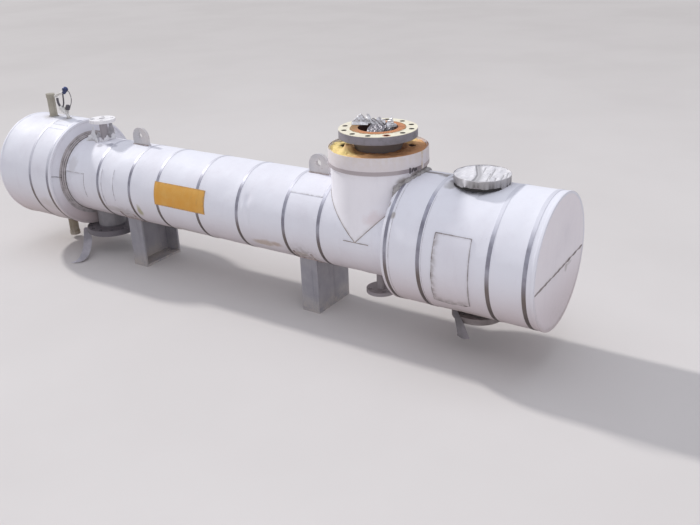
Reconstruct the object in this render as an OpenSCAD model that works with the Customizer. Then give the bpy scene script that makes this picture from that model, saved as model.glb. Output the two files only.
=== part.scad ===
// Shell and tube heat exchanger in an insulated jacket, standing on two saddles.
// Millimetres, +Z up, +X towards the channel end.
// The origin is on the ground under the middle of the exchanger.

/* [Shell] */
// Height of the shell's axis above the ground
axis_h = 498; // [470:1:560]
// Length of the jacketed shell between the two end boxes
shell_l = 2327; // [2250:1:3000]
// Outside diameter of the shell pipe
pipe_d = 273; // [262:1:290]
// Wall of the shell pipe
pipe_t = 9.3; // [6:0.1:13]
// Clearance of the shell's openings round the nozzles' bores, on the radius
opening_gap = 3; // [1:0.5:5]
// Outside diameter of the jacket round the shell
jacket_d = 470; // [440:1:520]
// Thickness of the jacket's sheet
sheet_t = 1.2; // [0.8:0.1:2]

/* [Front box over the channel] */
// Length of the front box
front_box_l = 741; // [720:1:900]
// Outside diameter of the front box
front_box_d = 635; // [620:1:700]
// Distance from the front box's face to the channel nozzles
channel_nozzle_x = 355.5; // [330:0.5:380]
// Insulation left over the channel cover
front_cover_gap = 95; // [60:1:140]

/* [Rear box over the bonnet] */
// Length of the rear box
rear_box_l = 495; // [480:1:620]
// Outside diameter of the rear box
rear_box_d = 662; // [640:1:720]
// Distance from the rear box's face to the vent and drain stubs
stub_x = 303; // [290:1:315]
// Insulation left behind the bonnet's dished end
rear_cover_gap = 88; // [60:1:140]
// Height of the sealed collar round the shell at the rear box
seal_w = 16; // [8:1:24]
// Length of that collar along the shell
seal_l = 22; // [12:1:30]

/* [Girth flanges] */
// Outside diameter of the girth flanges
girth_d = 444.5; // [430:0.5:470]
// Thickness of a girth flange
girth_t = 47.6; // [38:0.1:60]
// Depth of insulation between a box's face and its girth flange
girth_inset = 100; // [80:1:120]
// Thickness of the tubesheets
tubesheet_t = 38; // [30:1:50]
// Thickness of the channel cover
cover_t = 47.6; // [38:0.1:60]

/* [Tube bundle] */
// Outside diameter of a tube
tube_d = 25.4; // [19:0.1:26]
// Wall of a tube
tube_t = 2.1; // [1.2:0.1:3]
// Distance between neighbouring tubes' axes
tube_pitch = 31.75; // [31:0.05:36]
// Clearance between a tube and its hole, on the radius
tube_fit = 0.1; // [0.05:0.05:0.3]
// Smallest gap between a tube and the shell's bore
tube_edge_gap = 8; // [6:0.5:12]
// Number of baffles
baffle_n = 8; // [4:1:10]
// Thickness of a baffle
baffle_t = 6; // [4:0.5:10]
// Clearance between the baffles and the shell, on the radius
baffle_fit = 0.3; // [0.1:0.1:0.8]
// Height of the window cut off each baffle
baffle_cut_h = 62; // [50:1:64]
// Diameter of a tie rod
rod_d = 12; // [9:1:12]
// Gap between a tie rod and the shell's bore
rod_edge_gap = 9; // [6:0.5:12]
// Smallest gap between a tie rod and a tube
rod_tube_gap = 5; // [4:0.5:7]
// Height above the axis that the bundle's top row stays under, to clear the large nozzle
tube_top = 75; // [60:1:80]

/* [Large top nozzle] */
// Distance from the front box's face back to the nozzle
top_nozzle_x = 190.5; // [185:0.5:230]
// Height of the nozzle's face above the shell's axis
top_nozzle_h = 511.4; // [480:0.1:600]
// Outside diameter of the nozzle's pipe
top_pipe_d = 219.1; // [210:0.1:224]
// Bore of the nozzle
top_bore_d = 193.7; // [180:0.1:200]
// Outside diameter of the nozzle's flange
top_flange_d = 381; // [375:0.5:400]
// Thickness of the flange
top_flange_t = 41.3; // [34:0.1:48]
// Bolt circle of the flange
top_bolt_circle = 330.2; // [322:0.1:336]
// Bolt holes' diameter
top_hole_d = 25.4; // [22:0.1:28]
// Raised face's diameter
top_face_d = 269.9; // [264:0.1:276]
// Diameter of the hub where it meets the flange
top_hub_d = 260.4; // [250:0.1:264]
// Length through the hub
top_hub_l = 111.1; // [100:0.1:120]
// Height of the insulation above the front box
riser_reach = 102.5; // [85:0.5:125]

/* [Riser collar] */
// Outside diameter of the collar
collar_d = 487; // [480:1:510]
// Height of the collar
collar_h = 84; // [60:1:100]
// Height of the collar's rim above the insulation
collar_lip = 5; // [2:0.5:12]

/* [Rear bottom nozzle] */
// Distance from the rear box's face to the nozzle
bottom_nozzle_x = 101.5; // [96:0.5:140]
// Clearance between the rear box's bands and the nozzle's flange
bottom_clear = 0.7; // [0.5:0.1:30]
// Outside diameter of the nozzle's pipe
bottom_pipe_d = 168.3; // [160:0.1:174]
// Bore of the nozzle
bottom_bore_d = 146.3; // [136:0.1:154]
// Outside diameter of the flange
bottom_flange_d = 317.5; // [310:0.5:326]
// Thickness of the flange
bottom_flange_t = 36.5; // [30:0.1:42]
// Bolt circle of the flange
bottom_bolt_circle = 269.9; // [262:0.1:276]
// Bolt holes' diameter
bottom_hole_d = 22.2; // [19:0.1:25]
// Raised face's diameter
bottom_face_d = 215.9; // [208:0.1:222]

/* [Small nozzles] */
// Distance from the rear box's face to the small top nozzle
vent_x = 159.5; // [155:0.5:190]
// Height of the small top nozzle's face above the jacket
vent_reach = 126; // [100:1:140]
// Depth of the small bottom nozzle's face below the jacket
drain_reach = 118; // [105:1:145]
// Outside diameter of the small pipes
small_pipe_d = 48.3; // [42:0.1:52]
// Bore of the small pipes
small_bore_d = 38.1; // [30:0.1:41]
// Outside diameter of the small flanges
small_flange_d = 155.6; // [150:0.1:165]
// Thickness of the small flanges
small_flange_t = 20.6; // [16:0.1:24]
// Bolt circle of the small flanges
small_bolt_circle = 114.3; // [108:0.1:120]
// Bolt holes' diameter of the small flanges
small_hole_d = 22.2; // [19:0.1:24]
// Raised face's diameter of the small flanges
small_face_d = 73; // [70:0.1:78]
// Radius of the boot round the small top nozzle, at its top
boot_top_r = 53; // [46:1:60]
// Radius of the boot where it meets the jacket
boot_foot_r = 88; // [80:1:96]

/* [Channel nozzles] */
// Distance from the front box to the channel nozzles' faces
channel_reach = 33.5; // [32.5:0.5:60]
// Outside diameter of the channel nozzles' pipe
channel_pipe_d = 114.3; // [108:0.1:120]
// Bore of the channel nozzles
channel_bore_d = 97.2; // [90:0.1:102]
// Outside diameter of the channel nozzles' flanges
channel_flange_d = 254; // [248:0.5:262]
// Thickness of the channel nozzles' flanges
channel_flange_t = 31.8; // [26:0.1:34]
// Bolt circle of the channel nozzles' flanges
channel_bolt_circle = 200; // [194:0.1:206]
// Bolt holes' diameter
channel_hole_d = 22.2; // [19:0.1:24]
// Raised face's diameter
channel_face_d = 157.2; // [150:0.1:162]

/* [Stubs on the rear box] */
// Outside diameter of the vent stub
vent_stub_d = 48.3; // [42:0.1:60]
// Outside diameter of the drain stub
drain_stub_d = 60.3; // [48:0.1:64]
// Height of the vent stub's top above the rear box
vent_stub_reach = 143; // [100:1:180]
// Depth of the drain stub's end below the rear box
drain_stub_reach = 146; // [100:1:160]
// Wall of the stubs' caps
stub_cap_t = 2.85; // [1.5:0.05:6]
// Height of the stubs' caps
stub_cap_h = 24; // [16:1:36]
// Distance from the rear box's face to the small vent valve
valve_x = 154; // [140:1:200]
// Height of the vent valve's body above the rear box
valve_h = 76; // [60:1:100]
// Diameter of the valve's body
valve_body_d = 34; // [28:1:40]
// Diameter of the valve's pipe
valve_pipe_d = 22; // [18:1:26]
// Height of the lever's pivot above the valve's body
lever_rise = 88; // [60:1:100]
// Length of the valve's lever
lever_l = 62; // [50:1:80]
// Width of the lever
lever_w = 16; // [12:1:20]
// Slope of the lever, in degrees
lever_tilt = -30; // [-40:1:-20]
// Diameter of the grip
grip_d = 24; // [20:1:30]
// Length of the grip
grip_l = 40; // [30:1:60]

/* [Saddles and lugs] */
// Distance from the rear box's face to the rear saddle's middle
rear_saddle_x = 484; // [440:1:560]
// Distance from the front box's face back to the front saddle's middle
front_saddle_x = 545.5; // [500:1:620]
// Length of a saddle along the shell
saddle_l = 108; // [96:1:140]
// Width of a saddle across the shell
saddle_w = 287; // [280:1:320]
// Thickness of the saddle's plates
saddle_t = 12; // [8:1:16]
// Thickness of the saddle's base plate
base_t = 14; // [10:1:20]
// Thickness of the wear plate under the shell
wear_t = 8; // [6:0.5:12]
// Drop from the axis to the tops of the saddle's ribs
horn_drop = 64; // [50:1:90]
// Diameter of the holes in the base plate
anchor_d = 22; // [18:1:26]
// Distance between the two holes in a base plate
anchor_w = 200; // [160:1:220]
// Width of a lifting lug
lug_w = 122; // [100:1:140]
// Thickness of a lifting lug
lug_t = 16; // [12:1:20]
// Height of a lug's top above the jacket
lug_reach = 103; // [90:1:125]
// Diameter of the hole in a lug
eye_d = 32; // [26:1:38]
// Distance from a lug's top down to the middle of its hole
eye_drop = 48; // [40:1:61]

/* [Bands and plates] */
// Width of a steel band
band_w = 19; // [12:1:25]
// Thickness of a steel band
band_t = 1; // [0.6:0.1:1.6]
// Length of the label plate
label_l = 380; // [300:1:420]
// Distance from the rear box's face to the label plate
label_x = 783; // [760:1:800]
// Angle of the label plate's lower edge, from straight down
label_from_angle = 84.7; // [80:0.1:90]
// Angle of the label plate's upper edge, from straight down
label_to_angle = 117.5; // [110:0.1:125]
// Thickness of the label plate over the bands
label_t = 0.6; // [0.4:0.1:2]
// Length of the patch on the front box, along the axis
patch_l = 174; // [140:1:200]
// Distance from the front box's face to the patch
patch_x = 264; // [240:1:290]
// Angle of the patch's lower edge, from straight down
patch_from_angle = 56; // [50:1:62]
// Angle of the patch's upper edge, from straight down
patch_to_angle = 118.3; // [110:0.1:125]
// Thickness of the patch
patch_t = 1.6; // [1:0.1:3]

/* [Foil] */
// Thickness of the foil cap over the channel's top nozzle
foil_t = 1.5; // [1:0.1:3]
// Height of the tallest leaf of torn foil above the large nozzle's face
torn_foil_h = 50; // [30:1:60]
// Height of the torn foil's rim between its leaves
torn_rim_h = 7; // [4:1:12]
// Width of the foil's rim that lies on the face
torn_rim_w = 15; // [8:1:20]

/* [Hanging tapes] */
// Width of a tape
tape_w = 50; // [36:1:60]
// Thickness of a tape
tape_t = 3; // [2:0.5:5]
// Gap between a flange's rim and its tape
tape_gap = 8; // [4:1:16]
// Length on plan of the tape that hangs from the rear bottom nozzle
rear_tape_l = 258; // [200:1:262]
// Where on the rear flange's rim that tape starts, in degrees
rear_tape_angle = 214; // [200:1:230]
// Length on plan of the tape under the channel
front_tape_l = 85; // [60:1:110]
// Where on the channel flange's rim that tape starts, in degrees
front_tape_angle = 232.5; // [220:0.5:245]
// Direction of the rear tape on plan, in degrees
rear_tape_heading_angle = -57.5; // [-80:0.5:-40]
// Direction of the tape under the channel on plan, in degrees
front_tape_heading_angle = -36; // [-60:0.5:-20]

/* [Hidden] */
$fn = 96;
eps = 0.5;
through = 2000;
face_t = 1.6;
joint_gap = 0.3;

overall_l = rear_box_l + shell_l + front_box_l;
front_end = overall_l / 2;
rear_end = -overall_l / 2;
front_face = front_end - front_box_l;
rear_face = rear_end + rear_box_l;
pipe_id = pipe_d - 2 * pipe_t;
jacket_r = jacket_d / 2;
riser_h = front_box_d / 2 + riser_reach;
bottom_nozzle_h = rear_box_d / 2 + joint_gap + band_t + bottom_clear + bottom_flange_t;
vent_h = jacket_r + vent_reach;
drain_h = jacket_r + drain_reach;
channel_nozzle_h = front_box_d / 2 + channel_reach;
vent_stub_h = rear_box_d / 2 + vent_stub_reach;
drain_stub_h = rear_box_d / 2 + drain_stub_reach;
lug_h = jacket_r + lug_reach;

front_girth = front_face + girth_inset;
rear_girth = rear_face - girth_inset;
front_sheet_x = front_girth + girth_t;
rear_sheet_x = rear_girth - girth_t;
channel_x = front_sheet_x + tubesheet_t;
channel_end = front_end - front_cover_gap - cover_t;
bonnet_x = rear_sheet_x - tubesheet_t;
dish_h = pipe_d / 4;
bonnet_end = rear_end + rear_cover_gap;

riser_x = front_face - top_nozzle_x;
channel_noz = front_face + channel_nozzle_x;
bottom_noz = rear_face + bottom_nozzle_x;
vent_noz = rear_face + vent_x;
stub_at = rear_face - stub_x;
valve_at = rear_face - valve_x;
rear_saddle = rear_face + rear_saddle_x;
front_saddle = front_face - front_saddle_x;

// Band places, from the nearer box's face
shell_bands_from_rear = [309, 579, 802, 1103, 1394];
shell_bands_from_front = [626, 410];
front_bands_at = [21, 193, 532, 697];
rear_bands_at = [31, 197];

baffle_span = (riser_x - bottom_noz) / (baffle_n + 1);

// A cylinder along the shell's axis from x0 to x1
module bar(d, x0, x1) {
    translate([x0, 0, axis_h])
        rotate([0, 90, 0])
            cylinder(d = d, h = x1 - x0);
}

// A ring along the shell's axis from x0 to x1
module ring(d_out, d_in, x0, x1) {
    difference() {
        bar(d_out, x0, x1);
        bar(d_in, x0 - eps, x1 + eps);
    }
}

// An upright cylinder at x from z0 to z1
module post(d, x, z0, z1) {
    translate([x, 0, z0])
        cylinder(d = d, h = z1 - z0);
}

// The part of the space above the mitre between shell and riser
module mitre() {
    reach = through / 2;
    translate([riser_x, 0, axis_h])
        rotate([90, 0, 0])
            linear_extrude(through, center = true)
                polygon([[0, 0], [reach, reach], [-reach, reach]]);
}

// Outline of one welded nozzle, on the +Z side of the axis: pipe, hub, flange and raised face
module nozzle_body(pipe, flange, thick, face, height, hub, hub_l) {
    rotate_extrude()
        polygon([
            [0, 0], [pipe / 2, 0], [pipe / 2, height - hub_l], [hub / 2, height - thick],
            [flange / 2, height - thick], [flange / 2, height - face_t],
            [face / 2, height - face_t], [face / 2, height], [0, height]
        ]);
}

// A nozzle with its bore and bolt holes, seated on a pipe along the axis
module nozzle(x, up, pipe, bore, flange, thick, face, height, hub, hub_l, circle_d, hole, count) {
    translate([x, 0, axis_h])
        rotate([up ? 0 : 180, 0, 0])
            difference() {
                nozzle_body(pipe, flange, thick, face, height, hub, hub_l);
                translate([0, 0, -eps])
                    cylinder(d = bore, h = height + 2 * eps);
                rotate([0, 90, 0])
                    cylinder(d = pipe_d, h = through, center = true);
                if (count > 0)
                    for (i = [0 : count - 1])
                        rotate([0, 0, (i + 0.5) * 360 / count])
                            translate([circle_d / 2, 0, height - thick - eps])
                                cylinder(d = hole, h = thick + 2 * eps);
            }
}

// The room that a nozzle's pipe and hub take up in the insulation
module nozzle_room(x, up, pipe, height, hub, hub_l, thick) {
    translate([x, 0, axis_h])
        rotate([up ? 0 : 180, 0, 0])
            rotate_extrude()
                polygon([
                    [0, 0], [pipe / 2, 0], [pipe / 2, height - hub_l],
                    [hub / 2, height - thick], [0, height - thick]
                ]);
}

// The room that the front box and its bands take up beside the riser
module front_box_room() {
    bar(band_outside(front_box_d), front_face, front_face + jacket_d);
}

module top_nozzle_room() {
    nozzle_room(riser_x, true, top_pipe_d, top_nozzle_h, top_hub_d, top_hub_l, top_flange_t);
}

// Straight pipes of the smaller nozzles through the insulation
module small_rooms() {
    post(bottom_pipe_d, bottom_noz, axis_h - bottom_nozzle_h, axis_h);
    post(small_pipe_d, vent_noz, axis_h, axis_h + vent_h);
    post(small_pipe_d, riser_x, axis_h - drain_h, axis_h);
}

// Pressure parts

function opening(bore) = bore + 2 * opening_gap;

module shell_pipe() {
    color("dimgray")
        difference() {
            ring(pipe_d, pipe_id, rear_sheet_x, front_sheet_x);
            post(opening(top_bore_d), riser_x, axis_h, axis_h + pipe_d);
            post(opening(small_bore_d), riser_x, axis_h - pipe_d, axis_h);
            post(opening(bottom_bore_d), bottom_noz, axis_h - pipe_d, axis_h);
            post(opening(small_bore_d), vent_noz, axis_h, axis_h + pipe_d);
        }
}

module shell_flanges() {
    color("dimgray") {
        ring(girth_d, pipe_d, front_girth, front_sheet_x);
        ring(girth_d, pipe_d, rear_sheet_x, rear_girth);
    }
}

// Centres of the four tie rods
rod_circle_d = pipe_id - rod_d - 2 * rod_edge_gap;
rod_places = [for (a = [30, 150, 210, 330]) [cos(a), sin(a)] * rod_circle_d / 2];

// Centres of the tubes: every place of a triangular pattern that fits inside the baffles and
// stays clear of the tie rods
tube_limit = pipe_id / 2 - tube_d / 2 - tube_edge_gap;
rod_limit = tube_d / 2 + rod_d / 2 + rod_tube_gap;
tube_rows = ceil(tube_limit / tube_pitch) + 1;
tube_places = [
    for (i = [-2 * tube_rows : 2 * tube_rows])
        for (j = [-tube_rows : tube_rows])
            let (y = (i + j / 2) * tube_pitch, z = j * tube_pitch * sqrt(3) / 2)
                if (norm([y, z]) < tube_limit && z + tube_d / 2 < tube_top
                    && min([for (r = rod_places) norm([y, z] - r)]) > rod_limit)
                    [y, z]
];

module tube_holes(x0, x1, fit) {
    for (p = tube_places)
        translate([x0, p.x, axis_h + p.y])
            rotate([0, 90, 0])
                cylinder(d = tube_d + 2 * fit, h = x1 - x0);
}

module tubesheet(x) {
    color("slategray")
        difference() {
            bar(girth_d, x, x + tubesheet_t);
            tube_holes(x - eps, x + tubesheet_t + eps, tube_fit);
        }
}

module rear_tubesheet() {
    tubesheet(bonnet_x);
}

module front_tubesheet() {
    tubesheet(front_sheet_x);
}

module tubes() {
    color("silver")
        for (p = tube_places)
            translate([bonnet_x, p.x, axis_h + p.y])
                rotate([0, 90, 0])
                    difference() {
                        cylinder(d = tube_d, h = channel_x - bonnet_x);
                        translate([0, 0, -eps])
                            cylinder(d = tube_d - 2 * tube_t, h = channel_x - bonnet_x + 2 * eps);
                    }
}

// One segmental baffle between the two large nozzles, its window above or below by turns
module baffle(i) {
    x = bottom_noz + (i + 1) * baffle_span;
    side = i % 2 == 0 ? 1 : -1;
    difference() {
        bar(pipe_id - 2 * baffle_fit, x - baffle_t / 2, x + baffle_t / 2);
        translate([x, 0, axis_h + side * (pipe_id / 2 - baffle_cut_h / 2)])
            cube([baffle_t + 2 * eps, pipe_id, baffle_cut_h], center = true);
        tube_holes(x - baffle_t / 2 - eps, x + baffle_t / 2 + eps, tube_fit);
    }
}

module baffle_cage() {
    last = bottom_noz + baffle_n * baffle_span + baffle_t / 2;
    color("slategray")
        union() {
            for (i = [0 : baffle_n - 1])
                baffle(i);
            for (p = rod_places)
                translate([rear_sheet_x, p.x, axis_h + p.y])
                    rotate([0, 90, 0])
                        cylinder(d = rod_d, h = last - rear_sheet_x);
        }
}

// Flanged bonnet with a dished end, closed at the rear
module rear_bonnet() {
    inner_r = pipe_id / 2;
    outer_r = pipe_d / 2;
    straight = bonnet_x - bonnet_end - dish_h;
    steps = [for (a = [0 : 6 : 90]) a];
    color("dimgray")
        translate([bonnet_x, 0, axis_h])
            rotate([0, -90, 0])
                rotate_extrude()
                    polygon(concat(
                        [[inner_r, 0], [girth_d / 2, 0], [girth_d / 2, girth_t], [outer_r, girth_t]],
                        [for (a = steps) [outer_r * cos(a), straight + dish_h * sin(a)]],
                        [for (a = steps) [inner_r * sin(a), straight + (dish_h - pipe_t) * cos(a)]]
                    ));
}

module channel() {
    color("dimgray")
        difference() {
            union() {
                bar(pipe_d, channel_x, channel_end);
                bar(girth_d, channel_x, channel_x + girth_t);
                bar(girth_d, channel_end - girth_t, channel_end);
            }
            bar(pipe_id, channel_x - eps, channel_end + eps);
            post(opening(channel_bore_d), channel_noz, axis_h - pipe_d, axis_h + pipe_d);
        }
}

module channel_cover() {
    color("dimgray")
        bar(girth_d, channel_end, channel_end + cover_t);
}

// Nozzles

module top_nozzle() {
    color("darkorange")
        nozzle(riser_x, true, top_pipe_d, top_bore_d, top_flange_d, top_flange_t, top_face_d,
            top_nozzle_h, top_hub_d, top_hub_l, top_bolt_circle, top_hole_d, 12);
}

module bottom_nozzle() {
    color("gray")
        nozzle(bottom_noz, false, bottom_pipe_d, bottom_bore_d, bottom_flange_d, bottom_flange_t,
            bottom_face_d, bottom_nozzle_h, bottom_pipe_d, bottom_flange_t,
            bottom_bolt_circle, bottom_hole_d, 12);
}

module small_nozzle(x, up, height) {
    nozzle(x, up, small_pipe_d, small_bore_d, small_flange_d, small_flange_t, small_face_d,
        height, small_pipe_d, small_flange_t, small_bolt_circle, small_hole_d, 4);
}

module vent_nozzle() {
    color("gray")
        small_nozzle(vent_noz, true, vent_h);
}

module drain_nozzle() {
    color("gray")
        small_nozzle(riser_x, false, drain_h);
}

module channel_nozzle(up, count) {
    nozzle(channel_noz, up, channel_pipe_d, channel_bore_d, channel_flange_d, channel_flange_t,
        channel_face_d, channel_nozzle_h, channel_pipe_d, channel_flange_t,
        channel_bolt_circle, channel_hole_d, count);
}

module channel_top_nozzle() {
    color("gray")
        channel_nozzle(true, 0);
}

module channel_bottom_nozzle() {
    color("gray")
        channel_nozzle(false, 8);
}

// Capped stubs on the bonnet

module stub(up, stub_d, height) {
    translate([stub_at, 0, axis_h])
        rotate([up ? 0 : 180, 0, 0])
            difference() {
                union() {
                    cylinder(d = stub_d, h = height);
                    translate([0, 0, height - stub_cap_h])
                        cylinder(d = stub_d + 2 * stub_cap_t, h = stub_cap_h);
                }
                rotate([0, 90, 0])
                    cylinder(d = pipe_d, h = through, center = true);
            }
}

module vent_stub() {
    color("darkkhaki")
        stub(true, vent_stub_d, vent_stub_h);
}

module drain_stub() {
    color("darkkhaki")
        stub(false, drain_stub_d, drain_stub_h);
}

// The way out through the rear box for both stubs
module stub_ways() {
    post(vent_stub_d, stub_at, axis_h, axis_h + rear_box_d);
    post(drain_stub_d, stub_at, axis_h - rear_box_d, axis_h);
}

// Small lever valve that stands on the rear box, with its grip raised
module valve_body(foot, body_z) {
    post(valve_pipe_d, valve_at, foot, body_z);
    post(valve_body_d, valve_at, foot, foot + valve_pipe_d / 2);
    translate([valve_at, 0, body_z])
        rotate([0, 90, 0])
            cylinder(d = valve_body_d, h = 1.5 * valve_body_d, center = true);
    post(valve_pipe_d / 2, valve_at, body_z, body_z + lever_rise);
}

module valve_lever(pivot_z) {
    post(grip_d, valve_at, pivot_z, pivot_z + grip_l);
    translate([valve_at, 0, pivot_z])
        rotate([0, lever_tilt, 0])
            translate([-lever_l, -lever_w / 2, -lever_w / 4])
                cube([lever_l, lever_w, lever_w / 2]);
}

module vent_valve() {
    foot = axis_h + rear_box_d / 2;
    body_z = foot + valve_h;
    color("gainsboro")
        union() {
            valve_body(foot, body_z);
            valve_lever(body_z + lever_rise);
        }
}

// Supports

// Plates of a saddle: its web is on the side that facing points to
module saddle_plates(x, facing) {
    top_z = axis_h - horn_drop;
    web_x = facing > 0 ? saddle_l / 2 - saddle_t : -saddle_l / 2;
    difference() {
        union() {
            translate([x + web_x, -saddle_w / 2, base_t])
                cube([saddle_t, saddle_w, top_z - base_t]);
            for (y = [-saddle_w / 2, saddle_w / 2 - saddle_t])
                translate([x - saddle_l / 2, y, base_t])
                    cube([saddle_l, saddle_t, top_z - base_t]);
            intersection() {
                bar(pipe_d + 2 * wear_t, x - saddle_l / 2, x + saddle_l / 2);
                translate([x - saddle_l / 2, -saddle_w / 2, 0])
                    cube([saddle_l, saddle_w, top_z]);
            }
        }
        bar(pipe_d, x - saddle_l, x + saddle_l);
    }
}

module saddle_frame(x, facing) {
    color("slategray")
        union() {
            saddle_plates(x, facing);
            difference() {
                translate([x - saddle_l / 2, -saddle_w / 2, 0])
                    cube([saddle_l, saddle_w, base_t]);
                for (y = [-anchor_w / 2, anchor_w / 2])
                    translate([x - facing * saddle_t / 2, y, -eps])
                        cylinder(d = anchor_d, h = base_t + 2 * eps);
            }
        }
}

module rear_saddle_frame() {
    saddle_frame(rear_saddle, -1);
}

module front_saddle_frame() {
    saddle_frame(front_saddle, 1);
}

module lug_plate(x) {
    difference() {
        translate([x, lug_t / 2, axis_h])
            rotate([90, 0, 0])
                linear_extrude(lug_t)
                    union() {
                        translate([-lug_w / 2, 0])
                            square([lug_w, lug_h - lug_w / 2]);
                        translate([0, lug_h - lug_w / 2])
                            circle(d = lug_w);
                    }
        bar(pipe_d, x - lug_w, x + lug_w);
    }
}

module lifting_lugs() {
    color("slategray")
        for (x = [rear_saddle, front_saddle])
            difference() {
                lug_plate(x);
                translate([x, 0, axis_h + lug_h - eye_drop])
                    rotate([90, 0, 0])
                        cylinder(d = eye_d, h = 2 * lug_t, center = true);
            }
}

// Insulation

module shell_cuts() {
    saddle_plates(rear_saddle, -1);
    saddle_plates(front_saddle, 1);
    lug_plate(rear_saddle);
    lug_plate(front_saddle);
    small_rooms();
}

module shell_foam() {
    color("goldenrod")
        difference() {
            ring(jacket_d - 2 * sheet_t, pipe_d, rear_face, riser_x);
            mitre();
            shell_cuts();
        }
}

module tee_foam() {
    color("goldenrod")
        difference() {
            ring(jacket_d - 2 * sheet_t, pipe_d, riser_x, front_face);
            mitre();
            small_rooms();
        }
}

module riser_foam() {
    color("orange")
        difference() {
            intersection() {
                post(jacket_d - 2 * sheet_t, riser_x, axis_h, axis_h + riser_h);
                mitre();
            }
            bar(pipe_d, riser_x - jacket_d, riser_x + jacket_d);
            front_box_room();
            top_nozzle_room();
        }
}

module front_box_foam() {
    x0 = front_face + sheet_t;
    x1 = front_end - sheet_t;
    color("goldenrod")
        difference() {
            bar(front_box_d - 2 * sheet_t, x0, x1);
            bar(pipe_d, x0 - eps, channel_end + cover_t);
            bar(girth_d, front_girth, channel_x + girth_t);
            bar(girth_d, channel_end - girth_t, channel_end + cover_t);
            post(channel_pipe_d, channel_noz, axis_h - front_box_d, axis_h + front_box_d);
        }
}

module rear_box_foam() {
    x0 = rear_end + sheet_t;
    x1 = rear_face - sheet_t;
    color("goldenrod")
        difference() {
            bar(rear_box_d - 2 * sheet_t, x0, x1);
            bar(pipe_d, bonnet_end + dish_h, x1 + eps);
            bar(girth_d, bonnet_x - girth_t, rear_girth);
            translate([bonnet_end + dish_h, 0, axis_h])
                rotate([0, -90, 0])
                    rotate_extrude()
                        polygon(concat([[0, 0]],
                            [for (a = [0 : 6 : 90]) [pipe_d / 2 * cos(a), dish_h * sin(a)]]));
            stub_ways();
        }
}

// Sheet jackets

module shell_jacket() {
    color("white")
        difference() {
            ring(jacket_d, jacket_d - 2 * sheet_t, rear_face, front_face);
            mitre();
            shell_cuts();
        }
}

module riser_jacket() {
    color("white")
        difference() {
            intersection() {
                post(jacket_d, riser_x, axis_h, axis_h + riser_h);
                mitre();
            }
            post(jacket_d - 2 * sheet_t, riser_x, axis_h - eps, axis_h + riser_h + eps);
            front_box_room();
        }
}

module riser_collar() {
    rim = axis_h + riser_h + collar_lip;
    color("white")
        difference() {
            post(collar_d, riser_x, rim - collar_h, rim);
            post(jacket_d, riser_x, rim - collar_h - eps, rim + eps);
        }
}

module front_box_jacket() {
    color("white")
        difference() {
            ring(front_box_d, front_box_d - 2 * sheet_t, front_face, front_end);
            post(channel_pipe_d, channel_noz, axis_h - front_box_d, axis_h + front_box_d);
        }
}

module front_box_ring() {
    color("white")
        ring(front_box_d - 2 * sheet_t, pipe_d, front_face, front_face + sheet_t);
}

module front_box_end() {
    color("white")
        bar(front_box_d - 2 * sheet_t, front_end - sheet_t, front_end);
}

module rear_box_jacket() {
    color("white")
        difference() {
            ring(rear_box_d, rear_box_d - 2 * sheet_t, rear_end, rear_face);
            stub_ways();
        }
}

module rear_box_ring() {
    color("white")
        ring(rear_box_d - 2 * sheet_t, pipe_d, rear_face - sheet_t, rear_face);
}

// Sealed collar round the shell where it enters the rear box
module rear_collar() {
    color("gray")
        ring(jacket_d + 2 * seal_w, jacket_d, rear_face, rear_face + seal_l);
}

module rear_box_end() {
    color("white")
        bar(rear_box_d - 2 * sheet_t, rear_end, rear_end + sheet_t);
}

// Steel bands

function band_inside(d) = d + 2 * joint_gap;

function band_outside(d) = band_inside(d) + 2 * band_t;

module band(d, x) {
    ring(band_outside(d), band_inside(d), x - band_w / 2, x + band_w / 2);
}

module shell_band_rings() {
    for (x = shell_bands_from_rear)
        band(jacket_d, rear_face + x);
    for (x = shell_bands_from_front)
        band(jacket_d, front_face - x);
}

module shell_bands() {
    color("silver")
        difference() {
            shell_band_rings();
            mitre();
        }
}

module riser_band() {
    z = axis_h + riser_h + collar_lip - collar_h + band_w / 2;
    color("silver")
        difference() {
            post(band_outside(collar_d), riser_x, z - band_w / 2, z + band_w / 2);
            post(band_inside(collar_d), riser_x, z - band_w, z + band_w);
        }
}

module front_box_bands() {
    color("silver")
        for (x = front_bands_at)
            band(front_box_d, front_face + x);
}

module rear_box_bands() {
    color("silver")
        for (x = rear_bands_at)
            band(rear_box_d, rear_face - x);
}

// Trim

// A plate bent round the axis on its -Y side, between two angles from straight down
module curved_plate(d, thick, x, length, from, to) {
    translate([x, 0, axis_h])
        rotate([0, 90, 0])
            rotate([0, 0, -to])
                rotate_extrude(angle = to - from)
                    translate([d / 2, 0])
                        square([thick, length]);
}

// The label lies over the bands that it crosses
module label_plate() {
    color("orange")
        difference() {
            curved_plate(band_inside(jacket_d), band_t + label_t, rear_face + label_x, label_l,
                label_from_angle, label_to_angle);
            shell_band_rings();
        }
}

module box_patch() {
    color("whitesmoke")
        curved_plate(front_box_d, patch_t, front_face + patch_x, patch_l, patch_from_angle, patch_to_angle);
}

// Sheet boot round the small top nozzle, torn open towards the front
module vent_boot() {
    foot = axis_h + sqrt(pow(jacket_r, 2) - pow(boot_foot_r, 2));
    top = axis_h + vent_h - small_flange_t;
    color("white")
        translate([vent_noz, 0, 0])
            difference() {
                translate([0, 0, foot])
                    cylinder(r1 = boot_foot_r, r2 = boot_top_r, h = top - foot);
                translate([0, 0, foot - eps])
                    cylinder(d = small_pipe_d, h = top - foot + 2 * eps);
                translate([0, 0, axis_h])
                    rotate([0, 90, 0])
                        cylinder(d = jacket_d, h = through, center = true);
                rotate([0, 0, -75])
                    translate([0, 0, foot - eps])
                        rotate_extrude(angle = 52)
                            square([boot_foot_r + eps, top - foot + 2 * eps]);
            }
}

// Foil

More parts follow.
